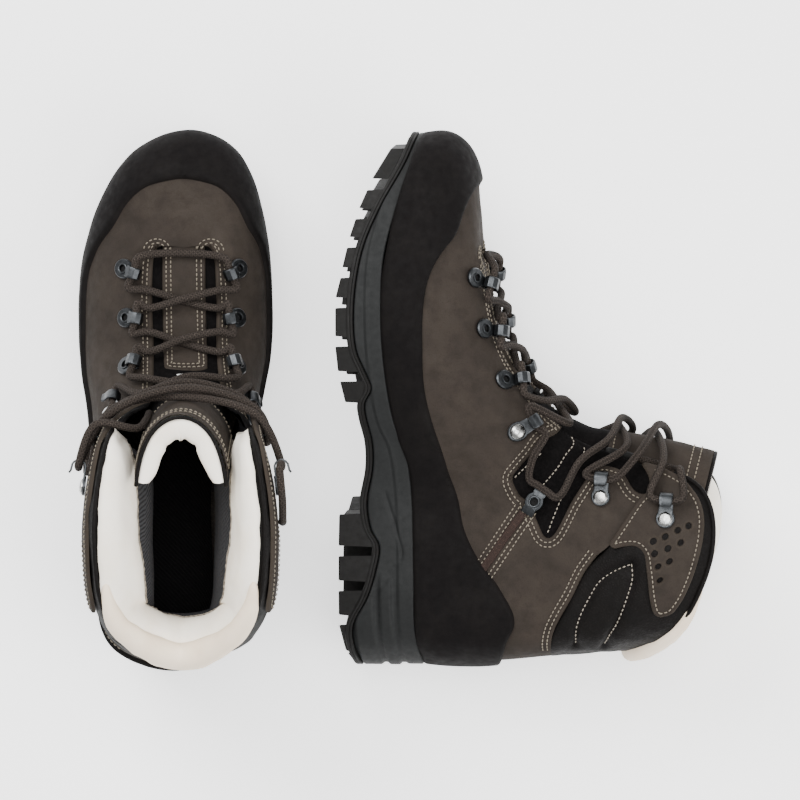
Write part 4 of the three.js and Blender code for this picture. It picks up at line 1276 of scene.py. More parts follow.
QUILTING = (
    [(14, 135.5), (24, 136.2), (33, 139), (44, 144.5), (51.5, 149), (58.5, 158), (63, 168)],
    [(63, 168), (54, 168.4), (42.5, 165), (34, 162), (27, 159), (20, 155), (13.5, 151.5)],
)
FOOT_SEWING = [(56, 82), (78, 96.6), (95, 108)]  # beside the webbing
WEBBING = [(57, 82.5), (76, 95.6), (90.5, 106)]
GUSSET_SEWING = (
    [(113.5, 100.5), (121.5, 108), (129.5, 116.6)],
    [(108, 116.4), (119, 124), (130, 131), (139, 133)],
    [(79, 119.4), (90, 123.6), (101.6, 128.3), (124.5, 138.3), (134, 140)],
)
PERFORATIONS = (
    (84.6, 200), (82.1, 194), (78.6, 187.1), (76, 180.5), (75.4, 195.7), (72.2, 188.6), (69.3, 181.2),
    (65.2, 189.4), (62.3, 183.1), (54.5, 184),
)
FORWARD = 4.5  # how much nearer the toe a drawn line lies than its points are listed
FADE_START, FADE_END = 95, 120  # y between which that fades out, near the cuff's front edge


def on_side(line, side):
    """A line of the inner side, on the side asked for: 1 is the inner one and -1 the outer one."""
    return line if side > 0 else np.stack([-line[:, 0], line[:, 1]], 1)


def round_heel(line):
    """The same line on the other side, counted on past the heel, and in the other direction."""
    return np.stack([2 * HEEL - line[::-1, 0], line[::-1, 1]], 1)


def other_side(line):
    """The same line on the other side of the toe, in the other direction."""
    return np.stack([-line[::-1, 0], line[::-1, 1]], 1)


def level(boot, u_from, u_to, v_of, step=2.0):
    """A line along the upper at v_of, a number or a function of u counted from the toe."""
    u = np.linspace(u_from, u_to, max(3, int(abs(u_to - u_from) * 18)))
    v = v_of(from_toe(u)) if callable(v_of) else np.full(len(u), float(v_of))
    line = np.stack([u, v], 1)
    return evenly(line, step, boot.upper.point(u, v))


def drawn(boot, points, step=1.8):
    """A line on the inner side through (y, z) points, moved forward except near the cuff's front edge."""
    share = lambda y: smooth((FADE_END - y) / (FADE_END - FADE_START))
    moved = [(y + FORWARD * share(y), z) for y, z in points]
    return curve_on(boot.upper, located(moved), step)


def joined_lines(*lines):
    """Lines end to end."""
    return np.concatenate([*(line[:-1] for line in lines[:-1]), lines[-1]])


def link(a, b, boot, step=3.0):
    """A straight line on the upper from the end of one line to the start of another."""
    ends = np.array([a[-1], b[0]])
    fine = np.linspace(ends[0], ends[1], 12)
    return evenly(fine, step, boot.upper.point(fine[:, 0], fine[:, 1]))


def creases(amount):
    """Soft unevenness, and the folds where the boot flexes at the ankle."""
    def swell(uv, base, far):
        flex = np.exp(-(((base[:, 1] - 128) / 26) ** 2) - ((base[:, 2] - 100) / 40) ** 2)
        folds = np.sin(base[:, 2] * 0.42 + base[:, 1] * 0.25) * flex * 0.35
        return ripple(base, 28, amount) + ripple(base, 11, amount * 0.45, 7) + folds
    return swell


def make_rand(boot):
    """The rubber band round the whole foot, with its seam on each side."""
    low = level(boot, -HEEL, HEEL, -0.012)
    high = level(boot, HEEL, -HEEL, RAND_TOP)
    edges = [(low, True), (link(low, high, boot), False), (high, True), (link(high, low, boot), False)]
    line = drawn(boot, RAND_SEAM, 0.8)
    seams = [(on_side(line, side), 0.8, 0.55) for side in (1, -1)]
    shape = patch(boot.upper, edges, RAND_THICKNESS, thickness=3.3, spacing=2.8, roll=2.6, grooves=seams,
                  swell=creases(0.5))
    boot.piece("rand", shape, "rand", "rand", replaces=True, edge=shape[2])


def tuck_depth(u, v):
    """How far the padding lifts the collar's leather: most halfway up it, and nothing at its edges."""
    low = PAD_LOW(from_toe(u))
    share = clamp01((v - low) / (1 - low))
    return PAD_RISE * np.sin(np.pi * share) * smooth((from_toe(u) - PAD_START) / 1.2)


def under_rand(u):
    """Where the leather ends, under the rand."""
    return np.maximum(RAND_TOP(u) - 0.1, 0.02)


THROAT_FRONT = 1.75  # u where the slots of the throat begin


def make_vamp(boot):
    """The leather over the forefoot, from one side's seam round the toe to the other's."""
    seam = joined_lines(drawn(boot, SEAM_FOOT + SEAM_TOP, 1.8), drawn(boot, GUSSET_LEFT))
    facing = level(boot, 5.02, THROAT_FRONT, 1.0, 1.6)
    up = link(seam, facing, boot, 1.6)
    front = level(boot, THROAT_FRONT, -THROAT_FRONT, 1.0, 1.6)
    foot = level(boot, -7.9, 7.9, under_rand, 3)
    edges = [
        (foot, False), (link(foot, seam, boot), False), (seam, True), (up, True), (facing, True),
        (front, False), (other_side(facing), True), (other_side(up), True), (other_side(seam), True),
        (link(other_side(seam), foot, boot), False),
    ]
    shape = patch(boot.upper, edges, 0.35, thickness=2.4, spacing=2.1, roll=1.3, swell=creases(0.55))
    boot.piece("vamp", shape, "nubuck", "nubuck", replaces=True, edge=shape[2])
    boot.seam_line, boot.facing_line = joined_lines(seam, up), facing


def make_quarter(boot):
    """The leather round the ankle and the heel, up to the padded collar."""
    seam = drawn(boot, SEAM_FOOT + SEAM_TOP)
    gusset = drawn(boot, GUSSET_RIGHT)
    tab, notch = drawn(boot, TAB), drawn(boot, NOTCH)
    hidden = drawn(boot, HIDDEN_EDGE)
    pad = np.vstack([drawn(boot, PAD_EDGE), [[HEEL, 0.608]]])
    inner = [(seam, True), (gusset, True), (tab, True), (notch, True), (hidden, False), (pad, True)]
    outer = [(round_heel(line), is_cut) for line, is_cut in inner[::-1]]
    foot = level(boot, 2 * HEEL - seam[0, 0], seam[0, 0], under_rand, 3)
    close = [(link(outer[-1][0], foot, boot), False), (foot, False), (link(foot, seam, boot), False)]
    shape = patch(boot.upper, inner + outer + close, 0.3, thickness=2.3, spacing=2.2, roll=1.3,
                  swell=creases(0.5))
    boot.piece("quarter", shape, "nubuck", "nubuck", replaces=True, edge=shape[2])
    boot.quarter_line = joined_lines(gusset, tab, notch)
    boot.pad_line = pad


def make_gussets(boot):
    """The soft black flex zone behind the cut-outs, and beside the tongue."""
    for name, side in SIDES.items():
        front = np.vstack([located([(88, 84), (112, 90), (140, 104)]), [[4.75, 0.985]]])
        front = curve_on(boot.upper, front, 3, rounded=False)
        top = level(boot, 4.75, 7.15, 1.0, 2.2)
        back = np.vstack([[[7.15, 1.0]], located([(88, 172), (74, 140), (62, 118), (74, 98), (88, 84)])])
        back = curve_on(boot.upper, back, 3, rounded=False)
        sewing = [(drawn(boot, line, 0.8), 0.9, 1.1) for line in GUSSET_SEWING]
        edges = [(on_side(line, side), cut) for line, cut in ((front, False), (top, True), (back, False))]
        grooves = [(on_side(line, side), depth, width) for line, depth, width in sewing]
        shape = patch(boot.upper, edges, -1.7, thickness=1.4, spacing=2.0, roll=1.6, grooves=grooves,
                      swell=creases(0.9))
        boot.piece(f"gusset_{name}", shape, "gusset", "collar_leather", edge=shape[2])


def at_heel(u):
    """1 round the back of the heel, 0 along the sides."""
    return smooth((2.2 - np.abs(np.abs(u) - HEEL)) / 1.4)


def pad_height(u, v):
    """How far the padded collar stands off the upper, less its crown and its quilting."""
    return tuck_depth(u, v) * 1.15 * (1 - 0.7 * at_heel(u)) + 0.1


PAD_CROWN = 1.3  # how much the padding swells between its edges, except round the heel


def make_collar_pad(boot):
    """The padded collar: pebbled leather, quilted along two curves on each side."""
    low = level(boot, PAD_START, 2 * HEEL - PAD_START, lambda u: PAD_LOW(u) - 0.02, 2.6)
    high = level(boot, 2 * HEEL - PAD_START, PAD_START, 1.0, 2.6)
    quilts = [drawn(boot, line, 1.0) for line in QUILTING]
    both = quilts + [round_heel(line) for line in quilts]
    grooves = [(line, depth, width) for depth, width in ((2.2, 2.6), (0.7, 0.8)) for line in both]

    def swell(uv, base, far):
        crown = PAD_CROWN * smooth((far - 1) / 9) * (1 - at_heel(uv[:, 0]))
        return crown + ripple(base, 9, 0.5) + ripple(base, 22, 0.8, 3)

    edges = [(low, True), (link(low, high, boot), False), (high, True), (link(high, low, boot), False)]
    shape = patch(boot.upper, edges, pad_height, thickness=3.0, spacing=1.9, roll=3.4, grooves=grooves,
                  swell=swell)
    pad = boot.piece("collar_pad", shape, "pebbled", "collar_leather", replaces=True, edge=shape[2], sharp=60)
    boot.quilts = quilts


OVERLAY_HEIGHT = 3.2


def on_pad(u, v):
    """The height of an overlay that lies over the edge of the collar's padding."""
    return tuck_depth(u, v) + OVERLAY_HEIGHT


def make_overlays(boot):
    """The perforated leather over the cuff's front, on each side."""
    lower, upper = drawn(boot, OVERLAY_LOWER, 1.6), drawn(boot, OVERLAY_UPPER, 1.8)
    crown = np.vstack([upper[-1:], [[7.0, 0.965], [6.7, 0.972], [6.42, 0.972]]])
    crown = curve_on(boot.upper, crown, 1.8)
    nose = np.vstack([crown[-1:], [[6.34, 0.96], [6.36, 0.935], [6.6, 0.885]], lower[:1]])
    nose = curve_on(boot.upper, nose, 1.8)
    holes = [(*locate(y + FORWARD, z), 1.6) for y, z in PERFORATIONS]
    loop = (lower, upper, crown, nose)
    for name, side in SIDES.items():
        edges = [(on_side(line, side), True) for line in loop]
        shape = patch(boot.upper, edges, on_pad, thickness=1.9, spacing=2.0, roll=1.2,
                      holes=[(side * u, v, r) for u, v, r in holes], swell=creases(0.35))
        boot.piece(f"overlay_{name}", shape, "nubuck", "nubuck", replaces=True, edge=shape[2])
    boot.overlay_sewing = (lower, joined_lines(upper, crown))


CLEAR_OF_SEAM = 0.93  # the share of its distance that a row has to keep where its seam bends


def sewing(boot, name, rows, look, body=None):
    """Rows of stitches of one thread as one piece. A row is (surface, line, distance beside it, height)."""
    parts = []
    for surface, line, distance, height in rows:
        if distance:
            source = surface.point(*line.T)
            line = beside(surface, line, distance)
            line = line[distances(surface.point(*line.T), source) > abs(distance) * CLEAR_OF_SEAM]
        if len(line) >= 4:
            points = surface.at(*line.T, at_each(height, line))
            parts.append(stitches(points, surface.normal(*line.T)))
    boot.piece(name, merged(parts), look, "nubuck", body=body, sharp=80)


SEWING_GAPS = (2.6, 5.2)  # how far beside a seam its two rows of stitches lie
THREAD_HEIGHT = 0.42  # how far the middle of a stitch lies over the surface that the panels are drawn on
ON_LEATHER = 0.12  # and over a panel's own face


def in_quilting(u, v):
    """The height of the stitches that lie in the collar's quilting."""
    return pad_height(u, v) - 1 - PAD_CROWN * at_heel(u)


def make_sewing(boot):
    """The rows of stitches beside the seams, and the lighter ones in the gusset and the padded collar."""
    rows, pale = [], []
    foot = drawn(boot, FOOT_SEWING, 1.2)
    gusset_lines = [drawn(boot, line, 1.2) for line in GUSSET_SEWING]
    for side in (1, -1):
        place = lambda line: on_side(line, side)
        out = -side
        for gap in SEWING_GAPS:
            rows.append((boot.upper, place(boot.seam_line), out * gap, THREAD_HEIGHT))
            rows.append((boot.upper, place(boot.facing_line), out * (gap + 0.2), THREAD_HEIGHT))
            rows.append((boot.upper, place(boot.quarter_line), -out * gap, THREAD_HEIGHT))
            rows.append((boot.upper, place(foot), -out * (gap + 1.6), THREAD_HEIGHT))
            rows.append((boot.upper, place(boot.pad_line[:-3]), -out * gap, THREAD_HEIGHT))
        for line in boot.overlay_sewing:
            rows.append((boot.upper, place(line), out * 2.8, lambda u, v: on_pad(u, v) + ON_LEATHER))
        for line in gusset_lines:
            pale.append((boot.upper, place(line), 0, -2.1))
        for line in boot.quilts:
            pale.append((boot.upper, place(line), 0, in_quilting))
    sewing(boot, "stitching", rows, "thread")
    sewing(boot, "flex_stitching", pale, "pale_thread")


WEBBING_HALF = 2.4  # half its width


def make_webbing(boot):
    """The ribbon that holds the lock ring, from the ring down to the rand."""
    for name, side in SIDES.items():
        middle = drawn(boot, WEBBING, 1.4)
        first = beside(boot.upper, middle, WEBBING_HALF)
        second = beside(boot.upper, middle, -WEBBING_HALF)[::-1]
        ends = link(first, second, boot, 1.4), link(second, first, boot, 1.4)
        ring = [(first, True), (ends[0], False), (second, True), (ends[1], False)]
        edges = [(on_side(line, side), cut) for line, cut in ring]
        shape = patch(boot.upper, edges, 1.5, thickness=1.0, spacing=1.1, roll=0.8,
                      grooves=[(on_side(middle, side), 0.8, 0.5)])
        boot.piece(f"webbing_{name}", shape, "webbing", "lace", edge=shape[2])


# ---- The throat: the strip over the tongue's front, and the dark slots on either side of it ----

STRIP_HALF = 12.4  # half the width of the strip along the middle of the throat
SLOT_HALF = 4.0  # half the width of each slot at its rounded front end
STRIP_REAR = 0.425  # where the strip ends, along the tongue
SLOT_FRONT = 238  # y of the slots' front ends


def from_above(x, y):
    """The u and v of a point of the vamp in front of the throat, at x and y of the standing boot."""
    start = np.array([1.0 if x > THROAT_SKEW else -1.0, 0.93])
    return settled(start, np.array([x, y]), [0, 1], 12, most=0.3)


def make_throat(boot):
    """The nubuck strip along the middle of the throat, between two dark slots, with its double stitching."""
    surface = boot.tongue
    b = np.linspace(0.012, STRIP_REAR, 40)
    half = STRIP_HALF / (tongue_half(b) * TONGUE_WRAP * 0.93)
    left_edge, right_edge = np.stack([-half, b], 1), np.stack([half, b], 1)
    turn = np.linspace(0, math.pi, 15)[1:-1]
    rear = np.stack([half[-1] * np.cos(turn), STRIP_REAR + 0.022 * np.sin(turn)], 1)
    front = np.stack([np.linspace(-half[0], half[0], 12), np.full(12, b[0])], 1)
    whole_edge = np.vstack([right_edge, rear, left_edge[::-1]])

    def strip_height(a, b):
        return -1.6 + 2.4 * smooth(b / 0.08)

    loop = [(front, False), (right_edge, True), (np.vstack([right_edge[-1:], rear, left_edge[-1:]]), True),
            (left_edge[::-1], True)]
    swell = lambda uv, base, far: ripple(base, 16, 0.5) + ripple(base, 7, 0.25, 5)
    shape = patch(surface, loop, strip_height, thickness=2.6, spacing=1.9, roll=1.5, swell=swell)
    boot.piece("tongue_strip", shape, "nubuck", "nubuck", edge=shape[2])
    edge = evenly(whole_edge, 1.2, surface.point(*whole_edge.T))
    rows = [(surface, edge, -gap, lambda a, b: strip_height(a, b) + ON_LEATHER) for gap in (2.3, 4.6)]
    for side in (1, -1):
        for radius in (5.0, 7.5):
            turn = np.linspace(0, math.pi, 15)
            middle = side * (STRIP_HALF + SLOT_HALF - 1.2) + THROAT_SKEW
            arch = [(middle + radius * math.cos(t), SLOT_FRONT + radius * 0.9 * math.sin(t)) for t in turn]
            rows.append((boot.upper, np.array([from_above(x, y) for x, y in arch]), 0, THREAD_HEIGHT))
    sewing(boot, "throat_stitching", rows, "thread")


# ---- Tongue ----

tongue_thickness = through([(0, 3), (0.4, 4), (0.7, 6), (1, 8)])
CAP_START, TONGUE_TOP = 0.735, 0.985  # where the tongue's nubuck begins and ends
CAP_SEWING = 0.93  # how far across the tongue the stitches of its sides lie


def make_tongue(boot):
    """The tongue's soft leather, its nubuck top with its stitches, its lining and its rim."""
    surface = boot.tongue
    a = np.linspace(-1, 1, 45)

    def sheet(b, lift, edge_drop):
        grid_a, grid_b = np.meshgrid(a, b)
        height = lift(grid_b) - edge_drop * rounding((1 - np.abs(grid_a)) / 0.06)
        base = surface.point(grid_a, grid_b)
        height = height + ripple(base, 15, 0.7) + ripple(base, 6, 0.3, 4)
        verts = surface.at(grid_a, grid_b, height).reshape(-1, 3)
        return verts, grid_faces(len(b), len(a))

    b = np.linspace(0.01, 0.80, 64)
    slot = sheet(b, lambda b: -1.9 * (1 - smooth((b - 0.38) / 0.06)), 1.5)
    boot.piece("tongue", slot, "gusset", "collar_leather", body="tongue", replaces=True, sharp=60)
    b = np.linspace(CAP_START, TONGUE_TOP, 26)
    cap = sheet(b, lambda b: 1.1 * smooth((b - CAP_START) / 0.012) - 0.2, 1.2)
    boot.piece("tongue_cap", cap, "nubuck", "nubuck", body="tongue", sharp=60)

    side = np.full(30, CAP_SEWING)
    up = np.linspace(CAP_START + 0.02, TONGUE_TOP - 0.03, 30)
    arch = np.linspace(-CAP_SEWING, CAP_SEWING, 40)
    lines = []
    for inset in (0, 0.055):
        top = np.stack([arch * (1 - inset), np.full(40, up[-1] - inset * 0.35)], 1)
        left_side, right_side = np.stack([-side + inset, up], 1), np.stack([side - inset, up[::-1]], 1)
        lines.append(np.vstack([left_side[:-1], top, right_side[1:]]))
    lines.append(np.stack([arch, np.full(40, CAP_START + 0.014)], 1))
    rows = [(surface, evenly(line, 1.3, surface.point(*line.T)), 0, 1.05) for line in lines]
    sewing(boot, "tongue_stitching", rows, "thread", body="tongue")
    make_tongue_lining(boot, a)

    rim_a = np.linspace(-0.99, 0.99, 60)
    rim = surface.at(rim_a, TONGUE_TOP + 0.004, -0.6)
    boot.piece("tongue_rim", tube(rim, 1.15, 8)[:2], "pebbled", "collar_leather", body="tongue", sharp=60)


def make_tongue_lining(boot, a):
    """One thick padded shell under the tongue, rolled over its top, with a ridge and creases down it."""
    surface = boot.tongue
    b = np.linspace(0.3, TONGUE_TOP, 60)
    grid_a, grid_b = np.meshgrid(a * 0.97, b)
    base = surface.point(grid_a, grid_b)
    crease = -3.2 * np.exp(-((np.abs(grid_a) / 0.16) ** 1.5)) + 3.6 * np.exp(-((grid_a / 0.035) ** 2))
    crease = crease * smooth((grid_b - 0.55) / 0.1)
    tuck_line = 0.5 + 0.25 * (grid_b - 0.8)
    tucks = 1.1 * np.exp(-(((np.abs(grid_a) - tuck_line) / 0.05) ** 2)) * smooth((grid_b - 0.62) / 0.1)
    depth = tongue_thickness(grid_b) * 1.5 * np.sqrt(1 - np.abs(grid_a) ** 8 * 0.8) + 0.4
    under = surface.at(grid_a, grid_b, -(depth - crease - tucks + ripple(base, 11, 0.9, 9)))
    outer = surface.at(grid_a, grid_b, -2.9 + 2.1 * smooth((grid_b - 0.42) / 0.05))
    shape = closed_sheet(outer, under, 1.9)
    lining = boot.piece("tongue_lining", shape, "cream", "textile_lining", body="tongue", sharp=80)


def closed_sheet(outer, inner, bulge=0.0):
    """Two grids of points joined round their four edges; bulge rounds the last row outward."""
    columns = outer.shape[1]
    grown = unit(outer[-1] - outer[-2])
    caps = []
    for share in (0.2, 0.5, 0.8):
        mix = outer[-1] * (1 - share) + inner[-1] * share
        caps.append(mix + grown * bulge * math.sin(math.pi * share))
    ring = np.concatenate([outer, np.array(caps), inner[::-1]])
    count = len(ring)
    verts = ring.reshape(-1, 3)
    faces = grid_faces(count, columns)
    for column, flip in ((0, 1), (columns - 1, -1)):
        side = [k * columns + column for k in range(count)]
        half = count // 2
        for k in range(half - 1):
            quad = (side[k], side[k + 1], side[count - 2 - k], side[count - 1 - k])
            faces.append(quad[::flip])
    return verts, faces


KEEPER_MIDDLE = 0.4855  # along the tongue


def make_keeper(boot):
    """The short dark loop on the tongue that the lace passes under, with a bright wire across it."""
    grid_a, grid_b = np.meshgrid(np.linspace(-0.27, 0.27, 19), np.linspace(0.468, 0.503, 7))
    rise = 1.7 * np.sqrt(np.maximum(1 - (grid_a / 0.29) ** 2, 0)) + 0.5
    rounded = 0.6 * (1 - ((grid_b - KEEPER_MIDDLE) / 0.0175) ** 2)
    top = boot.tongue.at(grid_a, grid_b, rise + rounded)
    low = boot.tongue.at(grid_a, grid_b, rise - 0.9)
    boot.piece("keeper", closed_sheet(top, low), "gusset", "collar_leather", body="tongue", sharp=50)
    line = boot.tongue.at(np.linspace(-0.16, 0.16, 14), KEEPER_MIDDLE, 2.85)
    boot.piece("keeper_wire", tube(line, 0.8, 8)[:2], "silver", "gunmetal", body="tongue", sharp=60)


# ---- Linings ----

lining_depth = through([(6.6, 8), (7.4, 13), (8.4, 17), (10, 17)])
liner_top = through([(0, 0.9), (4.2, 0.88), (5, 0.82), (5.5, 0.75), (6, 0.7), (10, 0.7)])
# The collar lining's section from the rim inward: v, and how deep it lies under the upper.
COLLAR_SECTION = (
    (0.97, -2.2), (0.992, -1.4), (1.004, -3.2), (1.006, -5.5), (1.0, -8.5), (0.985, -11.5), (0.955, -14.5),
    (0.92, -17), (0.88, -18.8), (0.84, -19.3), (0.80, -18.2), (0.77, -16.2), (0.75, -14), (0.738, -11.5),
    (0.735, -9),
)
# How much thicker the lining is than the collar's own shape, from the inner side's front round the heel.
lining_swell = through([
    (6.6, 1.0), (7.4, 1.15), (8.6, 1.25), (10, 1.2), (11.4, 1.45), (12.6, 1.5), (13.4, 1.1),
])
MM_PER_V = 60  # about how far one v is where the section is drawn
ZIGZAGS = 75
LINING_EDGE = -4  # the depth from which the lining swells


def lining_size(u):
    """How thick the lining is, next to its own section."""
    return lining_depth(from_toe(u)) / 17 * lining_swell(u)


def lining_ripple(base):
    return ripple(base, 24, 1.6, 2) + ripple(base, 9, 0.7, 6)


def make_collar_lining(boot):
    """The thick cream lining that rolls over the collar and swells round the ankle."""
    u = np.linspace(PAD_START - 0.1, 2 * HEEL - PAD_START + 0.1, 110)
    section = spline_point([(v * MM_PER_V, depth) for v, depth in COLLAR_SECTION])(np.linspace(0, 1, 46))
    size = lining_size(u)
    grid_u = np.broadcast_to(u, (len(section), len(u)))
    grid_v = np.broadcast_to(section[:, :1] / MM_PER_V, grid_u.shape)
    deep = section[:, 1:]
    depth = np.where(deep > LINING_EDGE, deep, LINING_EDGE + (deep - LINING_EDGE) * size[None])
    depth = depth + lining_ripple(boot.upper.point(grid_u, grid_v))
    verts = boot.upper.at(grid_u, grid_v, depth).reshape(-1, 3)
    faces = grid_faces(len(section), len(u))
    start = [k * len(u) for k in range(len(section))]
    faces += [tuple(start), tuple(k + len(u) - 1 for k in start[::-1])]
    shape = (verts, faces)
    lining = boot.piece("collar_lining", shape, "cream", "textile_lining", replaces=True, sharp=80)

    t = np.linspace(PAD_START + 0.2, 2 * HEEL - PAD_START - 0.2, 600)
    zigzag = 0.835 + 0.009 * np.sin(2 * math.pi * ZIGZAGS * np.linspace(0, 1, len(t)))
    depth = LINING_EDGE - 15.6 * lining_size(t) + lining_ripple(boot.upper.point(t, zigzag))
    line = boot.upper.at(t, zigzag, depth)
    boot.piece("lining_stitching", tube(line, 0.5, 6)[:2], "pale_thread", "textile_lining", sharp=80)

    edge_u = np.linspace(PAD_START, 2 * HEEL - PAD_START, 160)
    rim = boot.upper.at(edge_u, 0.996, -0.2)
    boot.piece("collar_piping", tube(rim, 1.35, 8)[:2], "pebbled", "collar_leather", sharp=60)


ROLL_SIDES = 20


def make_heel_roll(boot):
    """The separate roll of padding on the rim at the back of the opening."""
    u = np.linspace(8.45, 11.55, 80)
    across = np.sin(np.pi * np.linspace(0, 1, len(u))).clip(0, 1)
    radius = 0.8 + 7.2 * across**0.6
    line = boot.upper.at(u, 1.0 + 0.010 * across, -5 + 2.9 * across)
    upward = np.cross(boot.upper.normal(u, 0.985), np.gradient(line, axis=0))
    verts, faces, _ = tube(line, radius, ROLL_SIDES, flatten=(upward, 0.86))
    middles = np.repeat(np.concatenate([line[:1], line[:1], line, line[-1:], line[-1:]]), ROLL_SIDES, 0)
    swell = ripple(verts, 12, 0.9, 3) + ripple(verts, 5, 0.3, 5)
    verts = verts + unit(verts - middles) * swell[:, None]
    roll = boot.piece("heel_roll", (verts, faces), "warm_cream", "textile_lining", sharp=80)


LINER_DEPTH = 4.7  # how deep the liner lies under the upper, where it doesn't bulge
ankle_depth = through([
    (0, LINER_DEPTH), (0.3, 6), (0.42, 18), (0.54, 29), (0.64, 31), (0.70, 28), (0.745, 22), (1, 14),
])


def make_sock_liner(boot):
    """The felt that lines the inside below the collar, and bulges round the ankle under the padding."""
    u = np.linspace(-HEEL, HEEL, 150)[:-1]
    top = liner_top(np.abs(u)) + 0.045
    grid_v = top[None] * np.linspace(0, 1, 26)[:, None]
    collar = smooth((np.abs(u) - 6.4) / 0.8) * lining_swell(np.where(u < 0, 2 * HEEL + u, u)) / 1.5
    depth = LINER_DEPTH + (ankle_depth(grid_v) - LINER_DEPTH) * collar[None]
    grid_u = np.broadcast_to(u, grid_v.shape)
    depth = -depth + ripple(boot.upper.point(grid_u, grid_v), 30, 0.8, 8)
    verts = boot.upper.at(grid_u, grid_v, depth).reshape(-1, 3)
    faces = [f[::-1] for f in grid_faces(*grid_v.shape, wrap=True)]
    boot.piece("sock_liner", (verts, faces), "felt", "lining_leather", replaces=True, sharp=80)


def make_footbed(boot):
    """The shaped insole, dished at the heel and raised at the arch."""
    outline, outward = sole_outline(0)
    inner = outline - outward * 15.6
    y = np.clip(inner[:, 1], 15, 290)
    inner = np.stack([inner[:, 0], y], 1)
    middle = np.stack([foot_skew(y), y], 1)
    rings = []
    for share in np.linspace(0, 1, 13):
        xy = middle * (1 - share) + inner * share
        z = rim_height(xy[:, 1]) + 2.3 + 4.3 + 3 * share**4
        z = z + 1.6 * share**6 - 0.9 * (1 - np.sqrt(1 - clamp01((share - 0.9) / 0.1) ** 2))
        rings.append(np.concatenate([xy, z[:, None]], 1))
    side = rings[-1].copy()
    side[:, 2] -= 3.4
    rings.append(side)
    shape = ringed(rings[::-1])
    boot.piece("footbed", shape, "insole", "footbed", body="footbed", replaces=True, sharp=60)


# ---- Hardware ----

def oval(long, wide, middle, z, segments):
    """A closed oval line at height z: half sizes along the fitting and across it."""
    turn = turns(segments)
    return np.stack([wide * np.cos(turn), middle + long * np.sin(turn), np.full(segments, z)], 1)


PLATE_CHAMFER = 0.5


def plate(long, wide, thickness, middle):
    """An oval plate on the leather: half sizes along the fitting and across it."""
    centre = min(long, wide) * 0.96
    steps = ((0, 0), (0, thickness - PLATE_CHAMFER), (PLATE_CHAMFER, thickness), (centre, thickness))
    return ringed([oval(long - inset, wide - inset, middle, z, 24) for inset, z in steps])


# A ring's section from its inner side: the share of its width, and of its thickness.
RING_SECTION = ((0.0, 0.0), (0.0, 0.6), (0.18, 0.95), (0.5, 1.0), (0.82, 0.95), (1.0, 0.6), (1.0, 0.0))


def oval_ring(inner, outer, thickness, middle):
    """A rounded ring lying on the leather: inner and outer are (half along, half across)."""
    rings = []
    for share, z in RING_SECTION[::-1]:
        long, wide = (inner[k] + (outer[k] - inner[k]) * share for k in (0, 1))
        rings.append(oval(long, wide, middle, z * thickness, 28))
    return ringed(rings)


def dome(radius, rise, middle, low=0.0, segments=20, facets=False):
    """A rivet's head; with facets it is cut like a many-sided cap."""
    if facets:
        section = ((1.0, 0.0), (0.98, 0.25), (0.72, 0.82), (0.3, 1.0))
    else:
        section = [(math.cos(x), math.sin(x)) for x in np.linspace(0, math.pi / 2 * 0.9, 7)]
    rings = [oval(radius * r, radius * r, middle, low + rise * z, segments) for r, z in section]
    verts, faces = ringed(rings)
    return verts, faces + lids(len(section), segments)[1:]


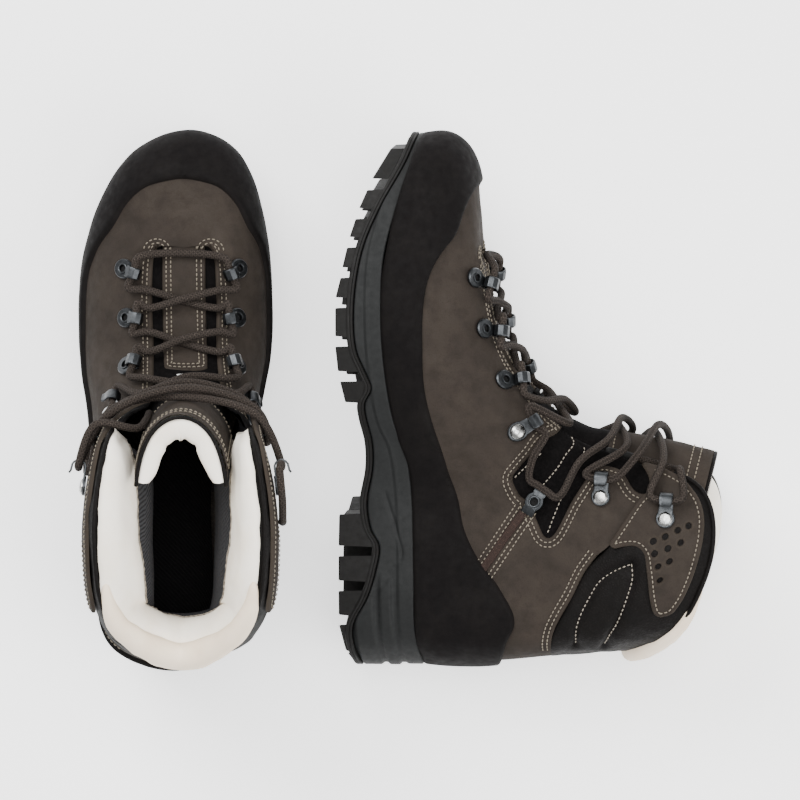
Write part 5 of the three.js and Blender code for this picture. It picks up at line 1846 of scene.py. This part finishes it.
def make_fitting(boot, name, side_name, side):
    """One fitting of folded metal with its rivet."""
    origin, axes = fitting_frame(boot, name, side)
    bright, dark = [], []
    if name == "lock_ring":
        metal = [
            oval_ring((3.0, 2.7), (6.2, 5.4), 2.6, 0),
            strap([(-8.2, 1.2), (-6.4, 2.0), (-3.6, 2.2)], [7.4, 7.8, 6.6], 1.1),
            strap([(3.6, 2.2), (6.4, 2.0), (8.2, 1.2)], [6.6, 7.8, 7.4], 1.1),
            oval_ring((2.3, 2.0), (3.7, 3.3), 3.2, 0),
        ]
        dark = [plate(3.0, 2.7, 0.9, 0)]
    elif name.startswith("eyelet"):
        eye = arc(EYE["y"], EYE["z"], EYE["hole"] + EYE["wall"] / 2, -66, 240, 8)
        metal = [
            oval_ring((2.2, 2.2), (6.2, 5.6), 2.0, 0),
            strap([(2.6, 1.5), (6.2, 1.3)] + eye, EYE["width"], EYE["wall"]),
            oval_ring((1.9, 1.9), (3.2, 3.1), 2.5, 0),
        ]
        dark = [plate(2.4, 2.4, 0.7, 0)]
    else:
        locks = name == "locking_hook"
        curl = arc(CURL["y"], CURL["z"], CURL["inner"] + CURL["wall"] / 2, -75, 95, 7)
        lip = [(curl[-1][0] - 1.9, curl[-1][1] + 0.25), (curl[-1][0] - 3.2, curl[-1][1] + 1.1)]
        path = [(1.5, 1.5), (5.5, 1.2)] + curl + lip
        widths = [8.6, 8.2] + [7.6] * len(curl) + [7.2, 6.2]
        metal = [plate(6.5 if locks else 5.5, 5.4, 1.7, 0), strap(path, widths, CURL["wall"])]
        if locks:
            bright = [dome(4.6, 2.5, -0.4, 1.6)]
        else:
            bright = [dome(4.3, 1.7, -0.4, 1.7, segments=8, facets=True)]
    place = lambda shape: (shape[0] @ axes + origin, [f[::side] for f in shape[1]])
    body = f"lock_ring_{side_name}" if name == "lock_ring" else None
    node = f"{name}_{side_name}"
    boot.piece(node, place(merged(metal)), "gunmetal", "gunmetal", body=body, replaces=True, sharp=32)
    if bright:
        boot.piece(f"{node}_rivet", place(merged(bright)), "silver", "gunmetal", body=body, sharp=32)
    # The dark plate under a ring's hole is painted shade, standing for the hollow inside the rivet.
    if dark:
        boot.piece(f"{node}_eye", place(merged(dark)), "hole_shade", "gunmetal", body=body)


# ---- Build ----

for boot in BOOTS:
    for node, look in CAD_LOOKS.items():
        for holder in bpy.data.objects[f"{boot.name}_{node}"].material_slots:
            holder.material = LOOKS[look]
    make_rand(boot)
    make_vamp(boot)
    make_quarter(boot)
    make_gussets(boot)
    make_collar_pad(boot)
    make_overlays(boot)
    make_webbing(boot)
    make_sewing(boot)
    make_throat(boot)
    make_tongue(boot)
    make_keeper(boot)
    make_collar_lining(boot)
    make_heel_roll(boot)
    make_sock_liner(boot)
    make_footbed(boot)
    for name in FITTINGS:
        for side_name, side in SIDES.items():
            make_fitting(boot, name, side_name, side)

FLOOR_HALF = 3
FLOOR_HEIGHT = -0.0004  # just below the soles
floor_mesh = bpy.data.meshes.new("floor")
corners = [(x * FLOOR_HALF, y * FLOOR_HALF, FLOOR_HEIGHT) for x, y in ((-1, -1), (1, -1), (1, 1), (-1, 1))]
floor_mesh.from_pydata(corners, [], [(0, 1, 2, 3)])
floor_mesh.materials.append(LOOKS["floor"])
floor = bpy.data.objects.new("floor", floor_mesh)
bpy.context.scene.collection.objects.link(floor)
